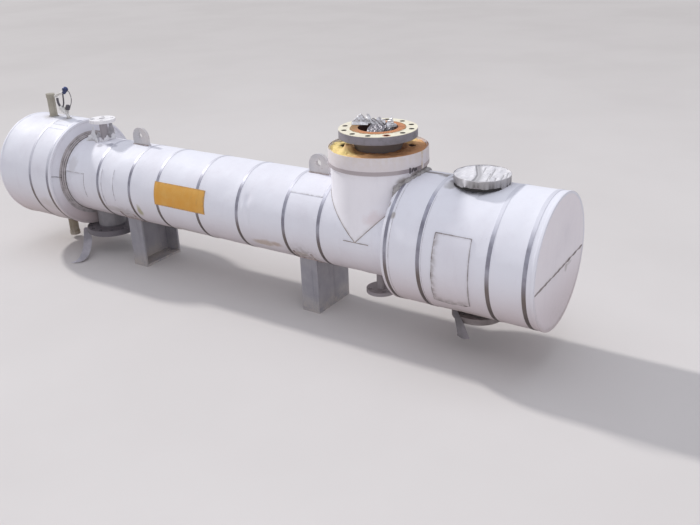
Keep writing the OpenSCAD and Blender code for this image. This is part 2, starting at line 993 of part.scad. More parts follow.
module foil_cap() {
    top = axis_h + channel_nozzle_h;
    color("silver")
        difference() {
            post(channel_flange_d + 2 * foil_t, channel_noz, top - channel_flange_t, top + foil_t);
            nozzle_envelope(top);
        }
}

// The channel's top flange as the cap fits over it
module nozzle_envelope(top) {
    post(channel_flange_d, channel_noz, top - channel_flange_t - eps, top - face_t);
    post(channel_face_d, channel_noz, top - face_t - eps, top);
}

// Leaves of the torn foil: start and end on the rim in degrees, height as a share of the tallest
torn_leaves = [[150, 196, 0.95], [112, 140, 0.8], [66, 104, 0.55], [20, 58, 1], [-12, 12, 0.5]];

// One leaf: a triangular piece of the wall that stands on the bore's edge
module torn_leaf(leaf) {
    half = (leaf[1] - leaf[0]) / 2;
    r = top_bore_d / 2;
    rotate([0, 0, leaf[0] + half])
        intersection() {
            difference() {
                cylinder(r = r + 0.8 * torn_rim_w, h = 2 * torn_foil_h);
                translate([0, 0, -eps])
                    cylinder(r = r + 0.4 * torn_rim_w, h = 2 * torn_foil_h + 2 * eps);
            }
            rotate([90, 0, 90])
                linear_extrude(2 * r)
                    polygon([[-r * sin(half), 0], [r * sin(half), 0], [0, torn_foil_h * leaf[2]]]);
        }
}

module torn_foil() {
    top = axis_h + top_nozzle_h;
    color("silver")
        translate([riser_x, 0, top])
            union() {
                difference() {
                    cylinder(d = top_bore_d + 2 * torn_rim_w, h = torn_rim_h);
                    translate([0, 0, -eps])
                        cylinder(d = top_bore_d + torn_rim_w / 2, h = torn_rim_h + 2 * eps);
                }
                for (leaf = torn_leaves)
                    torn_leaf(leaf);
            }
}

// A strip of tape that starts beside a flange's rim and falls in an upright plane.
// Its line is given as shares of its length on plan and of the height that it starts from.
module tape(x, rim_d, at, turn, length, height, line) {
    reach = rim_d / 2 + tape_gap;
    top = [for (p = line) [p.x * length, p.y * height]];
    low = [for (i = [len(top) - 1 : -1 : 0]) [top[i].x, top[i].y - tape_t]];
    translate([x + reach * cos(at), reach * sin(at), 0])
        rotate([0, 0, turn])
            rotate([90, 0, 0])
                linear_extrude(tape_w, center = true)
                    polygon(concat(top, low));
}

module hanging_tapes() {
    rear_top = axis_h - bottom_nozzle_h + face_t - joint_gap;
    front_top = axis_h - channel_nozzle_h + face_t - joint_gap;
    rear_end_h = 1.35 * tape_t / rear_top;
    color("lightgray") {
        tape(bottom_noz, bottom_flange_d, rear_tape_angle, rear_tape_heading_angle,
            rear_tape_l, rear_top,
            [[0, 1], [0.29, 0.65], [0.57, 0.35], [0.86, 0.12], [1, rear_end_h]]);
        tape(channel_noz, channel_flange_d, front_tape_angle, front_tape_heading_angle,
            front_tape_l, front_top,
            [[0, 1], [1, 0.58]]);
    }
}

shell_pipe();
shell_flanges();
rear_tubesheet();
front_tubesheet();
tubes();
baffle_cage();
rear_bonnet();
channel();
channel_cover();
top_nozzle();
bottom_nozzle();
vent_nozzle();
drain_nozzle();
channel_top_nozzle();
channel_bottom_nozzle();
vent_stub();
drain_stub();
vent_valve();
rear_saddle_frame();
front_saddle_frame();
lifting_lugs();
shell_foam();
tee_foam();
riser_foam();
front_box_foam();
rear_box_foam();
shell_jacket();
riser_jacket();
riser_collar();
front_box_jacket();
front_box_ring();
front_box_end();
rear_box_jacket();
rear_box_ring();
rear_collar();
rear_box_end();
shell_bands();
riser_band();
front_box_bands();
rear_box_bands();
vent_boot();
label_plate();
box_patch();
foil_cap();
torn_foil();
hanging_tapes();
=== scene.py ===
"""Insulated shell and tube heat exchanger: sheet jackets, bands, flanges, foam, foil and paint.

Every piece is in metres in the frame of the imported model: +X runs along the shell towards the
front box, +Z is up, and the origin is on the ground below the middle of the exchanger.
"""

import logging
import math
from dataclasses import dataclass, field
from enum import Enum
from typing import Any, Iterable, Sequence

import bmesh
import bpy
import numpy as np
from mathutils import Matrix


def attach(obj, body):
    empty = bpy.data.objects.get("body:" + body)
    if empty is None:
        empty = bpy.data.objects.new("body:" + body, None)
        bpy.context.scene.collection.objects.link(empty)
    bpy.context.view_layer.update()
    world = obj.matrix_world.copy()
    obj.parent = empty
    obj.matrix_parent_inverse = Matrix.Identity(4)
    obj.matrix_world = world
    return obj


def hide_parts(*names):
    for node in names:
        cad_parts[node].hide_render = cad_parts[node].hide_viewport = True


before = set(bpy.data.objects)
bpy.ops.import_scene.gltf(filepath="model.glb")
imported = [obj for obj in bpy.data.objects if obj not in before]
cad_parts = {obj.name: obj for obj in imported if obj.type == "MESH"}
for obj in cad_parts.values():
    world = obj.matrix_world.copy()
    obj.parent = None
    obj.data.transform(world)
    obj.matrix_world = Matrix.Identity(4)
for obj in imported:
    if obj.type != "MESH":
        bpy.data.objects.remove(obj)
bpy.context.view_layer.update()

logging.basicConfig(level=logging.INFO, format="%(message)s")
LOG = logging.getLogger("exchanger")

Array = np.ndarray
Colour = tuple[float, float, float]
Point = tuple[float, float, float]

TAU = 2 * math.pi
WELD_DISTANCE = 1e-6


@dataclass(frozen=True)
class Plan:
    """The main sizes that the pieces share, in metres."""

    axis: float = 0.498
    shell_r: float = 0.235
    rear_face: float = -1.2865
    front_face: float = 1.0405
    rear_end: float = -1.7815
    front_end: float = 1.7815
    front_r: float = 0.3175
    rear_r: float = 0.331
    riser_x: float = 0.85
    riser_top: float = 0.918
    sheet: float = 0.0012
    band_w: float = 0.019
    bottom_x: float = -1.185
    vent_x: float = -1.127
    stub_x: float = -1.5895
    valve_x: float = -1.4405
    channel_x: float = 1.396
    rear_saddle: float = -0.8025
    front_saddle: float = 0.495

    @property
    def reach(self) -> float:
        """How far the front box's face is from the riser's axis."""
        return self.front_face - self.riser_x


PLAN = Plan()


class Axis(Enum):
    """The axis that a turned form goes round."""

    X = "x"
    Z = "z"


# ---------------------------------------------------------------- solids


@dataclass
class Solid:
    """Points and faces of a form, before Blender has it.

    Attributes:
        points: Places in metres, one row each.
        faces: Corner numbers of each face.
        marks: Named values per point, such as grime, that a finish reads.
    """

    points: Array
    faces: list[list[int]]
    marks: dict[str, Array] = field(default_factory=dict)

    def __add__(self, other: "Solid") -> "Solid":
        """Both forms in one, the other's corners numbered after this one's."""
        shift = len(self.points)
        faces = self.faces + [[i + shift for i in face] for face in other.faces]
        names = set(self.marks) | set(other.marks)
        marks = {
            name: np.concatenate([
                part.marks.get(name, np.zeros(len(part.points))) for part in (self, other)
            ])
            for name in names
        }
        return Solid(np.concatenate([self.points, other.points]), faces, marks)

    def turned_by(self, turn: Matrix, centre: Point = (0, 0, 0)) -> "Solid":
        """This form turned about a centre by a 3 by 3 matrix."""
        points = (self.points - np.array(centre)) @ np.array(turn).T + np.array(centre)
        return Solid(points, self.faces, self.marks)

    def moved_by(self, shift: Point) -> "Solid":
        """This form moved by a shift."""
        return Solid(self.points + np.array(shift), self.faces, self.marks)


def together(parts: Iterable[Solid]) -> Solid:
    """Join several forms into one."""
    whole, *rest = list(parts)
    for part in rest:
        whole = whole + part
    return whole


@dataclass(frozen=True)
class Ripple:
    """A smooth uneven height over space.

    The height is a sum of sine waves, each with its own seeded direction, length and start.
    With creases, each wave's size without its sign is taken, which leaves sharp folds.

    Attributes:
        seed: Seed of the waves.
        length: Typical length of a wave in metres.
        height: Typical height in metres.
        waves: How many waves are added.
        creased: Whether the waves fold sharply.
    """

    seed: int
    length: float
    height: float
    waves: int = 9
    creased: bool = False

    def __call__(self, points: Array) -> Array:
        """Height at each point of an array whose last axis is x, y, z."""
        rng = np.random.default_rng(self.seed)
        way = rng.normal(size=(self.waves, 3))
        way /= np.linalg.norm(way, axis=1, keepdims=True)
        way *= TAU / self.length * rng.uniform(0.6, 1.7, (self.waves, 1))
        wave = np.sin(points @ way.T + rng.uniform(0, TAU, self.waves))
        if self.creased:
            wave = 1.3 * np.abs(wave) - 0.8
        return self.height * wave.sum(-1) / math.sqrt(self.waves)


# ---------------------------------------------------------------- numbers and places


def near(value: Array | float, centre: float, width: float) -> Array:
    """A bell of height 1 about a centre, with a half width."""
    return np.exp(-((value - centre) / width) ** 2)


def ramp(value: Array, low: Array | float, high: Array | float) -> Array:
    """A smooth step from 0 at low to 1 at high, which may be the lower one."""
    share = np.clip((value - low) / (high - low), 0, 1)
    return share * share * (3 - 2 * share)


def most(*values: Array) -> Array:
    """The largest of several values, which spread over each other's rows and columns."""
    return np.maximum.reduce(np.broadcast_arrays(*values))


def spread(x: Array | float, y: Array | float, z: Array | float) -> Array:
    """Points from their x, y and z, which spread over each other's rows and columns."""
    return np.stack(np.broadcast_arrays(x, y, z), -1)


def all_round(step: float = 2.5) -> Array:
    """Angles from 0 all round, a step in degrees apart, one row each."""
    return np.radians(np.arange(0, 360, step))[:, None]


def upright(x: float, turn: Array, radius: Array | float, z: Array | float) -> Array:
    """Points round an upright axis that stands at x: a turn of 0 is +X."""
    return spread(x + radius * np.cos(turn), radius * np.sin(turn), z)


def on_round(x: float, degrees: float, radius: float) -> Point:
    """The point on a drum round the shell's axis; 0 degrees is +Y and 90 is up."""
    turn = math.radians(degrees)
    return x, radius * math.cos(turn), PLAN.axis + radius * math.sin(turn)


def along_drum(x: Array, y: float, radius: float, side: int) -> Array:
    """A line along the top (side 1) or the bottom (side -1) of a drum, at y from its middle."""
    return spread(x, y, PLAN.axis + side * math.sqrt(radius**2 - y**2))


def round_post(x: float, post_r: float, drum_r: float, side: int, count: int = 72) -> Array:
    """The closed line where an upright post meets a drum's top (side 1) or bottom (-1)."""
    turn = np.linspace(0, TAU, count + 1)[:-1]
    rise = np.sqrt(drum_r**2 - (post_r * np.sin(turn)) ** 2)
    return upright(x, turn, post_r, PLAN.axis + side * rise)


def stations(
    start: float, end: float, step: float, fine: Sequence[tuple[float, float, float]] = (),
) -> Array:
    """Places from start to end a step apart, with finer runs (from, to, step) put in."""
    places = [np.linspace(start, end, max(2, round((end - start) / step) + 1))]
    places += [np.arange(low, high, pace) for low, high, pace in fine]
    merged = np.unique(np.round(np.concatenate(places), 5))
    return merged[(merged >= start - 1e-9) & (merged <= end + 1e-9)]


def curve(points: Sequence[Point], count: int) -> Array:
    """A smooth path through points: each coordinate is a cubic between its neighbours.

    The slope at a point is half the step from its previous to its next neighbour.
    """
    p = np.array(points, float)
    slope = np.gradient(p, axis=0)
    at = np.linspace(0, len(p) - 1, count)
    k = np.minimum(at.astype(int), len(p) - 2)
    t = (at - k)[:, None]
    return (
        (2 * t**3 - 3 * t**2 + 1) * p[k] + (t**3 - 2 * t**2 + t) * slope[k]
        + (3 * t**2 - 2 * t**3) * p[k + 1] + (t**3 - t**2) * slope[k + 1]
    )


# ---------------------------------------------------------------- forms


class Form:
    """Makes solids from grids, profiles and paths, as whole arrays."""

    @staticmethod
    def cells(rows: int, columns: int, wrap_rows: bool, wrap_columns: bool) -> Array:
        """Corner numbers of a grid's cells, one row of four each."""
        i, j = np.meshgrid(
            np.arange(rows - (not wrap_rows)), np.arange(columns - (not wrap_columns)),
            indexing="ij",
        )
        over, along = (i + 1) % rows, (j + 1) % columns
        corners = [
            i * columns + j, over * columns + j, over * columns + along, i * columns + along
        ]
        return np.stack(corners, -1).reshape(-1, 4)

    @staticmethod
    def normals(grid: Array, wrap_rows: bool = False, wrap_columns: bool = False) -> Array:
        """Unit normals of a grid: the cross product of its slopes along rows and columns."""
        slopes = [
            np.roll(grid, -1, axis) - np.roll(grid, 1, axis) if wrap
            else np.gradient(grid, axis=axis)
            for axis, wrap in enumerate((wrap_rows, wrap_columns))
        ]
        normal = np.cross(slopes[0], slopes[1])
        return normal / (np.linalg.norm(normal, axis=-1, keepdims=True) + 1e-12)

    @staticmethod
    def slab(
        outer: Array, inner: Array, wrap_rows: bool = False, wrap_columns: bool = False,
        marks: dict[str, Array] | None = None,
    ) -> Solid:
        """Close the space between two grids of the same size.

        Args:
            outer: Grid of points, rows by columns by three.
            inner: The other side's grid.
            wrap_rows: Whether the last row joins the first.
            wrap_columns: Whether the last column joins the first.
            marks: Named values that spread over rows by columns, for both sides.

        Returns:
            The closed solid: both grids and strips along their open edges.
        """
        rows, columns, _ = outer.shape
        count = rows * columns
        cells = Form.cells(rows, columns, wrap_rows, wrap_columns)
        number = np.arange(count).reshape(rows, columns)
        faces = [cells, cells[:, ::-1] + count]
        edges = []
        if not wrap_rows:
            edges += [number[0], number[-1][::-1]]
        if not wrap_columns:
            edges += [number[:, 0][::-1], number[:, -1]]
        for edge in edges:
            line = np.append(edge, edge[0]) if (
                wrap_columns and len(edge) == columns or wrap_rows and len(edge) == rows
            ) else edge
            a, b = line[:-1], line[1:]
            faces.append(np.stack([a, b, b + count, a + count], -1))
        points = np.concatenate([outer.reshape(-1, 3), inner.reshape(-1, 3)])
        kept = {
            name: np.tile(np.broadcast_to(mark, (rows, columns)).ravel(), 2)
            for name, mark in (marks or {}).items()
        }
        return Solid(points, np.concatenate(faces).tolist(), kept)

    @staticmethod
    def sheet(
        grid: Array, thickness: float, wrap_rows: bool = False, wrap_columns: bool = False,
        marks: dict[str, Array] | None = None,
    ) -> Solid:
        """A sheet of a thickness on a grid: the grid and its copy moved along the normals."""
        under = grid - thickness * Form.normals(grid, wrap_rows, wrap_columns)
        return Form.slab(grid, under, wrap_rows, wrap_columns, marks)

    @staticmethod
    def turned(
        profile: Sequence[tuple[float, float]], centre: Point, axis: Axis = Axis.Z,
        segments: int = 96, wobble: Ripple | None = None,
    ) -> Solid:
        """Carry a closed profile round an axis.

        A profile point (r, h) goes to r times the circle's direction plus h along the axis.

        Args:
            profile: Points (distance from the axis, place along it), all round the section.
            centre: The point on the axis from which h counts.
            axis: The axis to go round.
            segments: Steps round the circle.
            wobble: An uneven height added along the radius.

        Returns:
            The closed ring, or the closed form where the profile touches the axis.
        """
        r, h = np.array(profile, float).T
        turn = np.linspace(0, TAU, segments, endpoint=False)[:, None]
        across, up = r * np.cos(turn), r * np.sin(turn)
        grid = spread(h, across, up) if axis is Axis.X else spread(across, up, h)
        grid = grid + np.array(centre)
        if wobble is not None:
            away = grid - np.array(centre)
            away[..., 0 if axis is Axis.X else 2] = 0
            length = np.linalg.norm(away, axis=-1, keepdims=True)
            grid = grid + away / (length + 1e-9) * (wobble(grid)[..., None] * (length > 1e-6))
        return Solid(grid.reshape(-1, 3), Form.cells(segments, len(r), True, True).tolist())

    @staticmethod
    def carried(
        path: Array, section: Array, closed: bool = False, scale: Array | None = None,
        up: Point = (0, 0, 1),
    ) -> Solid:
        """Carry a closed section along a path.

        Each section point (a, b) goes to the path's point plus a times the side direction,
        which is the tangent crossed with up, plus b times the direction square to both.

        Args:
            path: Points of the path.
            section: Points of the section.
            closed: Whether the path joins its own start.
            scale: The section's size at each point of the path.
            up: The direction that the section's b axis leans to.

        Returns:
            The closed rod, with flat ends where the path is open.
        """
        tangent = (
            np.roll(path, -1, 0) - np.roll(path, 1, 0) if closed
            else np.gradient(path, axis=0)
        )
        tangent /= np.linalg.norm(tangent, axis=1, keepdims=True) + 1e-12
        side = np.cross(tangent, np.broadcast_to(np.array(up, float), tangent.shape))
        side /= np.linalg.norm(side, axis=1, keepdims=True) + 1e-12
        rise = np.cross(side, tangent)
        size = np.ones(len(path)) if scale is None else scale
        a, b = section.T
        grid = path[:, None] + size[:, None, None] * (
            a[:, None] * side[:, None] + b[:, None] * rise[:, None]
        )
        faces = Form.cells(len(path), len(section), closed, True).tolist()
        if not closed:
            first = list(range(len(section)))
            faces += [first, [i + (len(path) - 1) * len(section) for i in first[::-1]]]
        return Solid(grid.reshape(-1, 3), faces)

    @staticmethod
    def ruled(low: Sequence[Point], high: Sequence[Point], columns: int, rows: int) -> Array:
        """A grid between two lines of points, whose corners are evenly spread along it."""
        share = np.linspace(0, 1, columns)
        lines = []
        for corners in (low, high):
            at = np.linspace(0, 1, len(corners))
            lines.append(np.stack([
                np.interp(share, at, part) for part in np.array(corners, float).T], -1))
        up = np.linspace(0, 1, rows)[:, None, None]
        return lines[0] * (1 - up) + lines[1] * up

    @staticmethod
    def circle(radius: float, count: int = 10) -> Array:
        """Points of a round section."""
        turn = np.linspace(0, TAU, count, endpoint=False)
        return radius * np.stack([np.cos(turn), np.sin(turn)], -1)

    @staticmethod
    def strip(width: float, height: float, corner: float = 0.25) -> Array:
        """Points of a flat section with its top corners cut, standing on its base line."""
        w, cut = width / 2, corner * height
        return np.array([
            [-w, 0], [w, 0], [w, height - cut], [w - cut, height], [cut - w, height],
            [-w, height - cut],
        ])

    @staticmethod
    def bar(inner: float, outer: float, low: float, high: float) -> list[tuple[float, float]]:
        """The oblong profile of a plain ring: (distance from the axis, place along it)."""
        return [(inner, low), (outer, low), (outer, high), (inner, high)]

    @staticmethod
    def round_shell(
        x: Array | float, angle: Array, radius: Array | float, lift: Array | float = 0.0,
    ) -> Array:
        """Points on the cylinder round the shell's axis: angle 0 is +Y and a quarter is up."""
        r = radius + lift
        return spread(x, r * np.cos(angle), PLAN.axis + r * np.sin(angle))

    @staticmethod
    def block(size: Point, centre: Point, turn: Matrix | None = None) -> Solid:
        """A block with bevelled edges: a box grid pulled in at its corners.

        Args:
            size: Lengths along x, y and z.
            centre: Its middle.
            turn: A 3 by 3 turn about its middle.

        Returns:
            The closed block.
        """
        half = np.array(size) / 2
        cut = half.min() * 0.18
        corners = np.array([[x, y, z] for x in (-1, 1) for y in (-1, 1) for z in (-1, 1)])
        points = np.concatenate([
            corners * (half - cut * np.eye(3)[k]) for k in range(3)
        ])
        made = bmesh.new()
        for point in points:
            made.verts.new(point)
        hull = bmesh.ops.convex_hull(made, input=made.verts)
        loose = [v for v in hull["geom_interior"] if isinstance(v, bmesh.types.BMVert)]
        bmesh.ops.delete(made, geom=loose, context="VERTS")
        made.verts.index_update()
        solid = Solid(
            np.array([v.co[:] for v in made.verts]),
            [[v.index for v in face.verts] for face in made.faces],
        )
        made.free()
        if turn is not None:
            solid = solid.turned_by(turn)
        return solid.moved_by(centre)


# ---------------------------------------------------------------- shader graph


class Value:
    """One number in a shader, with Python's arithmetic."""

    def __init__(self, graph: "Graph", socket: bpy.types.NodeSocket) -> None:
        """Wrap a socket of a graph."""
        self.graph = graph
        self.socket = socket

    def __add__(self, other: "Value | float") -> "Value":
        """This plus the other."""
        return self.graph.math("ADD", self, other)

    __radd__ = __add__

    def __sub__(self, other: "Value | float") -> "Value":
        """This less the other."""
        return self.graph.math("SUBTRACT", self, other)

    def __rsub__(self, other: "Value | float") -> "Value":
        """The other less this."""
        return self.graph.math("SUBTRACT", other, self)

    def __mul__(self, other: "Value | float") -> "Value":
        """This times the other."""
        return self.graph.math("MULTIPLY", self, other)

    __rmul__ = __mul__

    def __pow__(self, power: float) -> "Value":
        """This to a power."""
        return self.graph.math("POWER", self, power)

    def most(self, other: "Value | float") -> "Value":
        """The larger of this and the other."""
        return self.graph.math("MAXIMUM", self, other)

    def step(self, low: float, high: float) -> "Value":
        """A smooth step: 0 below low, 1 above high; high may be the lower one."""
        node = self.graph.node(
            "ShaderNodeMapRange", {"interpolation_type": "SMOOTHSTEP", "clamp": True},
            {"Value": self, "From Min": low, "From Max": high},
        )
        return Value(self.graph, node.outputs["Result"])


class Graph:
    """Builds one material's nodes."""

    def __init__(self, name: str) -> None:
        """Start an empty material."""
        self.material = bpy.data.materials.new(name)
        self.material.use_nodes = True
        self.tree = self.material.node_tree
        self.tree.nodes.clear()

    def node(
        self, kind: str, settings: dict[str, Any] | None = None,
        sockets: dict[str | int, Any] | None = None,
    ) -> bpy.types.Node:
        """Add a node.

        Args:
            kind: Blender's name of the node type.
            settings: Its settings, set first; "stops" gives a ramp's places and colours.
            sockets: Values or links of its sockets, by name or number.

        Returns:
            The node.
        """
        node = self.tree.nodes.new(kind)
        for key, value in (settings or {}).items():
            if key == "stops":
                ramp = node.color_ramp.elements
                while len(ramp) < len(value):
                    ramp.new(0.5)
                for stop, (place, colour) in zip(ramp, value):
                    stop.position, stop.color = place, (*colour, 1.0)
            else:
                setattr(node, key, value)
        for key, value in (sockets or {}).items():
            self.feed(node.inputs[key], value)
        return node

    def feed(self, socket: bpy.types.NodeSocket, value: Any) -> None:
        """Link a value to a socket, or set a constant on it."""
        if isinstance(value, Value):
            self.tree.links.new(value.socket, socket)
        elif isinstance(value, bpy.types.NodeSocket):
            self.tree.links.new(value, socket)
        elif socket.type == "RGBA" and len(value) == 3:
            socket.default_value = (*value, 1.0)
        else:
            socket.default_value = value

    def math(self, operation: str, *values: "Value | float") -> Value:
        """Add a Math node on these values."""
        node = self.node(
            "ShaderNodeMath", {"operation": operation}, dict(enumerate(values))
        )
        return Value(self, node.outputs[0])

    def place(self, scale: Point = (1, 1, 1)) -> bpy.types.NodeSocket:
        """Object coordinates, stretched by a scale."""
        here = self.node("ShaderNodeTexCoord").outputs["Object"]
        if scale == (1, 1, 1):
            return here
        return self.node("ShaderNodeMapping", None, {"Vector": here, "Scale": scale}).outputs[0]

    def axes(self) -> tuple[Value, Value, Value]:
        """The object coordinates as three values."""
        split = self.node("ShaderNodeSeparateXYZ", None, {0: self.place()})
        return tuple(Value(self, out) for out in split.outputs)

    def noise(
        self, scale: float, detail: float = 3.0, rough: float = 0.55, stretch: Point = (1, 1, 1),
        twist: float = 0.0,
    ) -> Value:
        """Cloudy noise from 0 to 1 about 0.5, at a scale per metre."""
        node = self.node(
            "ShaderNodeTexNoise", {"noise_dimensions": "3D"},
            {"Vector": self.place(stretch), "Scale": scale, "Detail": detail,
             "Roughness": rough, "Distortion": twist},
        )
        return Value(self, node.outputs[0])

    def cells(self, scale: float, feature: str = "F1", stretch: Point = (1, 1, 1)) -> Value:
        """Distances in a cell pattern, at a scale per metre."""
        node = self.node(
            "ShaderNodeTexVoronoi", {"feature": feature},
            {"Vector": self.place(stretch), "Scale": scale},
        )
        return Value(self, node.outputs["Distance"])

    def mark(self, name: str) -> Value:
        """A value that the mesh carries at its points."""
        node = self.node("ShaderNodeAttribute", {"attribute_name": name})
        return Value(self, node.outputs["Fac"])

    def spot(self, centre: Point, size: Point) -> Value:
        """Distance from a centre in an ellipsoid's half sizes: 1 on its skin."""
        less = self.node(
            "ShaderNodeVectorMath", {"operation": "SUBTRACT"}, {0: self.place(), 1: centre}
        )
        share = self.node(
            "ShaderNodeVectorMath", {"operation": "DIVIDE"}, {0: less.outputs[0], 1: size}
        )
        length = self.node(
            "ShaderNodeVectorMath", {"operation": "LENGTH"}, {0: share.outputs[0]}
        )
        return Value(self, length.outputs["Value"])

    def blend(self, share: "Value | float", first: Any, second: Any) -> bpy.types.NodeSocket:
        """Mix two colours: the first at 0, the second at 1."""
        node = self.node("ShaderNodeMix", {"data_type": "RGBA"}, {0: share, 6: first, 7: second})
        return node.outputs[2]

    def bump(
        self, height: Value, distance: float, strength: float = 1.0, under: Any = None,
    ) -> bpy.types.NodeSocket:
        """A normal bent by a height, on top of another normal if there is one."""
        sockets = {"Height": height, "Distance": distance, "Strength": strength}
        if under is not None:
            sockets["Normal"] = under
        return self.node("ShaderNodeBump", None, sockets).outputs["Normal"]

    def surface(
        self, colour: Any, rough: Any, metal: Any = 0.0, normal: Any = None, **more: Any
    ) -> bpy.types.Material:
        """Close the graph with the surface shader.

        Args:
            colour: Base colour.
            rough: Roughness.
            metal: How metallic it is.
            normal: A bent normal.
            more: Further sockets by name, with _ for a space.

        Returns:
            The material.
        """
        sockets = {"Base Color": colour, "Roughness": rough, "Metallic": metal}
        if normal is not None:
            sockets["Normal"] = normal
        sockets.update({name.replace("_", " "): value for name, value in more.items()})
        shader = self.node("ShaderNodeBsdfPrincipled", None, sockets)
        self.node("ShaderNodeOutputMaterial", None, {"Surface": shader.outputs[0]})
        return self.material


# ---------------------------------------------------------------- finishes


@dataclass(frozen=True)
class Finish:
    """A surface finish, made into a material once."""

    name: str

    def paint(self, g: Graph) -> None:
        """Add this finish's nodes to a graph."""
        raise NotImplementedError

    def material(self) -> bpy.types.Material:
        """The finish's material, made when it is first asked for."""
        found = bpy.data.materials.get(self.name)
        if found is None:
            graph = Graph(self.name)
            self.paint(graph)
            found = graph.material
        return found


@dataclass(frozen=True)
class Stain:
    """A stain on the sheet: its middle, half sizes, colour and strength."""

    centre: Point
    size: Point
    colour: Colour
    strength: float = 0.6


@dataclass(frozen=True)
class WhiteSheet(Finish):
    """Satin white coated sheet with clouded dust, runs, scuffs and stains.

    Attributes:
        white: The clean coat.
        dust: The pale grey-lilac film that settles on it.
        below: Painted shade from below: a pinkish, darker tone that stands in for the light
            bounced off the yard, stronger towards the ground.
        grime: The brown-grey dirt beside seams and at the foot.
        foot: Heights between which the splashed dirt fades out.
        stains: Single stains.
        splash: The splashed dirt.
    """

    white: Colour = (0.80, 0.80, 0.86)
    dust: Colour = (0.67, 0.635, 0.69)
    below: Colour = (0.55, 0.43, 0.42)
    grime: Colour = (0.20, 0.175, 0.15)
    foot: tuple[float, float] = (0.20, 0.42)
    stains: tuple[Stain, ...] = ()
    splash: Colour = (0.50, 0.46, 0.43)

    def paint(self, g: Graph) -> None:
        """Layer dust, runs, grime and stains over the coat, with painted shade towards the ground
        and a slight waviness.
        """
        _, _, z = g.axes()
        cloud = g.noise(3.2, 4)
        fine = g.noise(60, 3)
        runs = g.noise(26, 3, 0.6, (1, 1, 0.12))
        film = cloud.step(0.42, 0.75) * 0.35 + runs.step(0.5, 0.78) * 0.16
        colour = g.blend(film, self.white, self.dust)
        # painted shade: the coat turns darker and pinkish towards the ground, for the bounce
        # light off the yard
        below = (z + (cloud - 0.5) * 0.08).step(0.54, 0.20)
        colour = g.blend(below * 0.72, colour, self.below)
        splash = z.step(self.foot[1], self.foot[0]) * (fine * 0.5 + cloud).step(0.5, 0.95)
        colour = g.blend(splash * 0.32, colour, self.splash)
        speck = g.noise(240, 2).step(0.69, 0.74) * cloud.step(0.45, 0.6)
        dirt = g.mark("grime") * (g.noise(42, 4).step(0.30, 0.66) * 0.8 + 0.2)
        colour = g.blend((dirt * 0.8).most(speck * 0.25), colour, self.grime)
        for stain in self.stains:
            edge = g.spot(stain.centre, stain.size) + (g.noise(22, 4) - 0.5) * 1.1
            colour = g.blend(edge.step(1.0, 0.35) * stain.strength, colour, stain.colour)
        wave = g.noise(9, 2)
        normal = g.bump(wave, 0.006, 0.5)
        normal = g.bump(fine, 0.0004, 0.5, normal)
        rough = 0.54 + film * 0.2 + dirt * 0.25 + fine * 0.05
        g.surface(colour, rough, 0.0, normal, Specular_IOR_Level=0.25)


@dataclass(frozen=True)
class Strap(Finish):
    """Rolled steel strip: a painted highlight on top where the sun's glare washes it out, bluish
    at the sides, brown towards the bottom.
    """

    # top: the painted highlight, the sun's glare on the strip's top
    top: Colour = (0.74, 0.74, 0.80)
    bright: Colour = (0.43, 0.43, 0.50)
    dull: Colour = (0.27, 0.26, 0.31)
    brown: Colour = (0.17, 0.135, 0.115)

    def paint(self, g: Graph) -> None:
        """Cloud the metal between bright and dull, paint the sun's glare on its top, and brush it
        across its width.
        """
        x, _, z = g.axes()
        cloud = g.noise(14, 4)
        # painted highlight: the sun's glare whitens the tops of the strips and makes them less
        # metallic, except where the riser's shadow falls on the front box
        open_sky = x.step(PLAN.front_face + 0.02, PLAN.front_face).most(x.step(1.40, 1.50))
        behind_riser = z.step(0.765, 0.80) * x.step(1.15, 1.19)
        rear = z.step(0.50, 0.64) * x.step(PLAN.rear_face, PLAN.rear_face - 0.02) * 0.8
        painted_glare = (z.step(0.62, 0.77) * open_sky).most(behind_riser).most(rear) * 0.88
        brushed = g.noise(400, 2, 0.6, (1, 0.05, 0.05))
        colour = g.blend(cloud.step(0.35, 0.7), self.bright, self.dull)
        colour = g.blend(painted_glare, colour, self.top)
        low = (z + (cloud - 0.5) * 0.05).step(0.53, 0.43)
        colour = g.blend(low * 0.85, colour, self.brown)
        rough = 0.30 + cloud * 0.16 + brushed * 0.08
        g.surface(colour, rough + painted_glare * 0.2, 0.9 - painted_glare * 0.75,
                  g.bump(brushed, 0.0004, 0.3))


@dataclass(frozen=True)
class Sealant(Finish):
    """Mastic smeared by hand, grey with dirt in its hollows.

    Attributes:
        clean: The mastic's own colour.
        dirty: The colour of the dirt on it.
    """

    clean: Colour = (0.40, 0.39, 0.385)
    dirty: Colour = (0.17, 0.155, 0.145)

    def paint(self, g: Graph) -> None:
        """Mottle the mastic and make it lumpy."""
        cloud, lumps = g.noise(30, 4, 0.65), g.noise(110, 3)
        colour = g.blend(cloud.step(0.36, 0.70), self.clean, self.dirty)
        normal = g.bump(lumps, 0.0025, 0.6)
        g.surface(colour, 0.55 + lumps * 0.3, 0.0, normal)


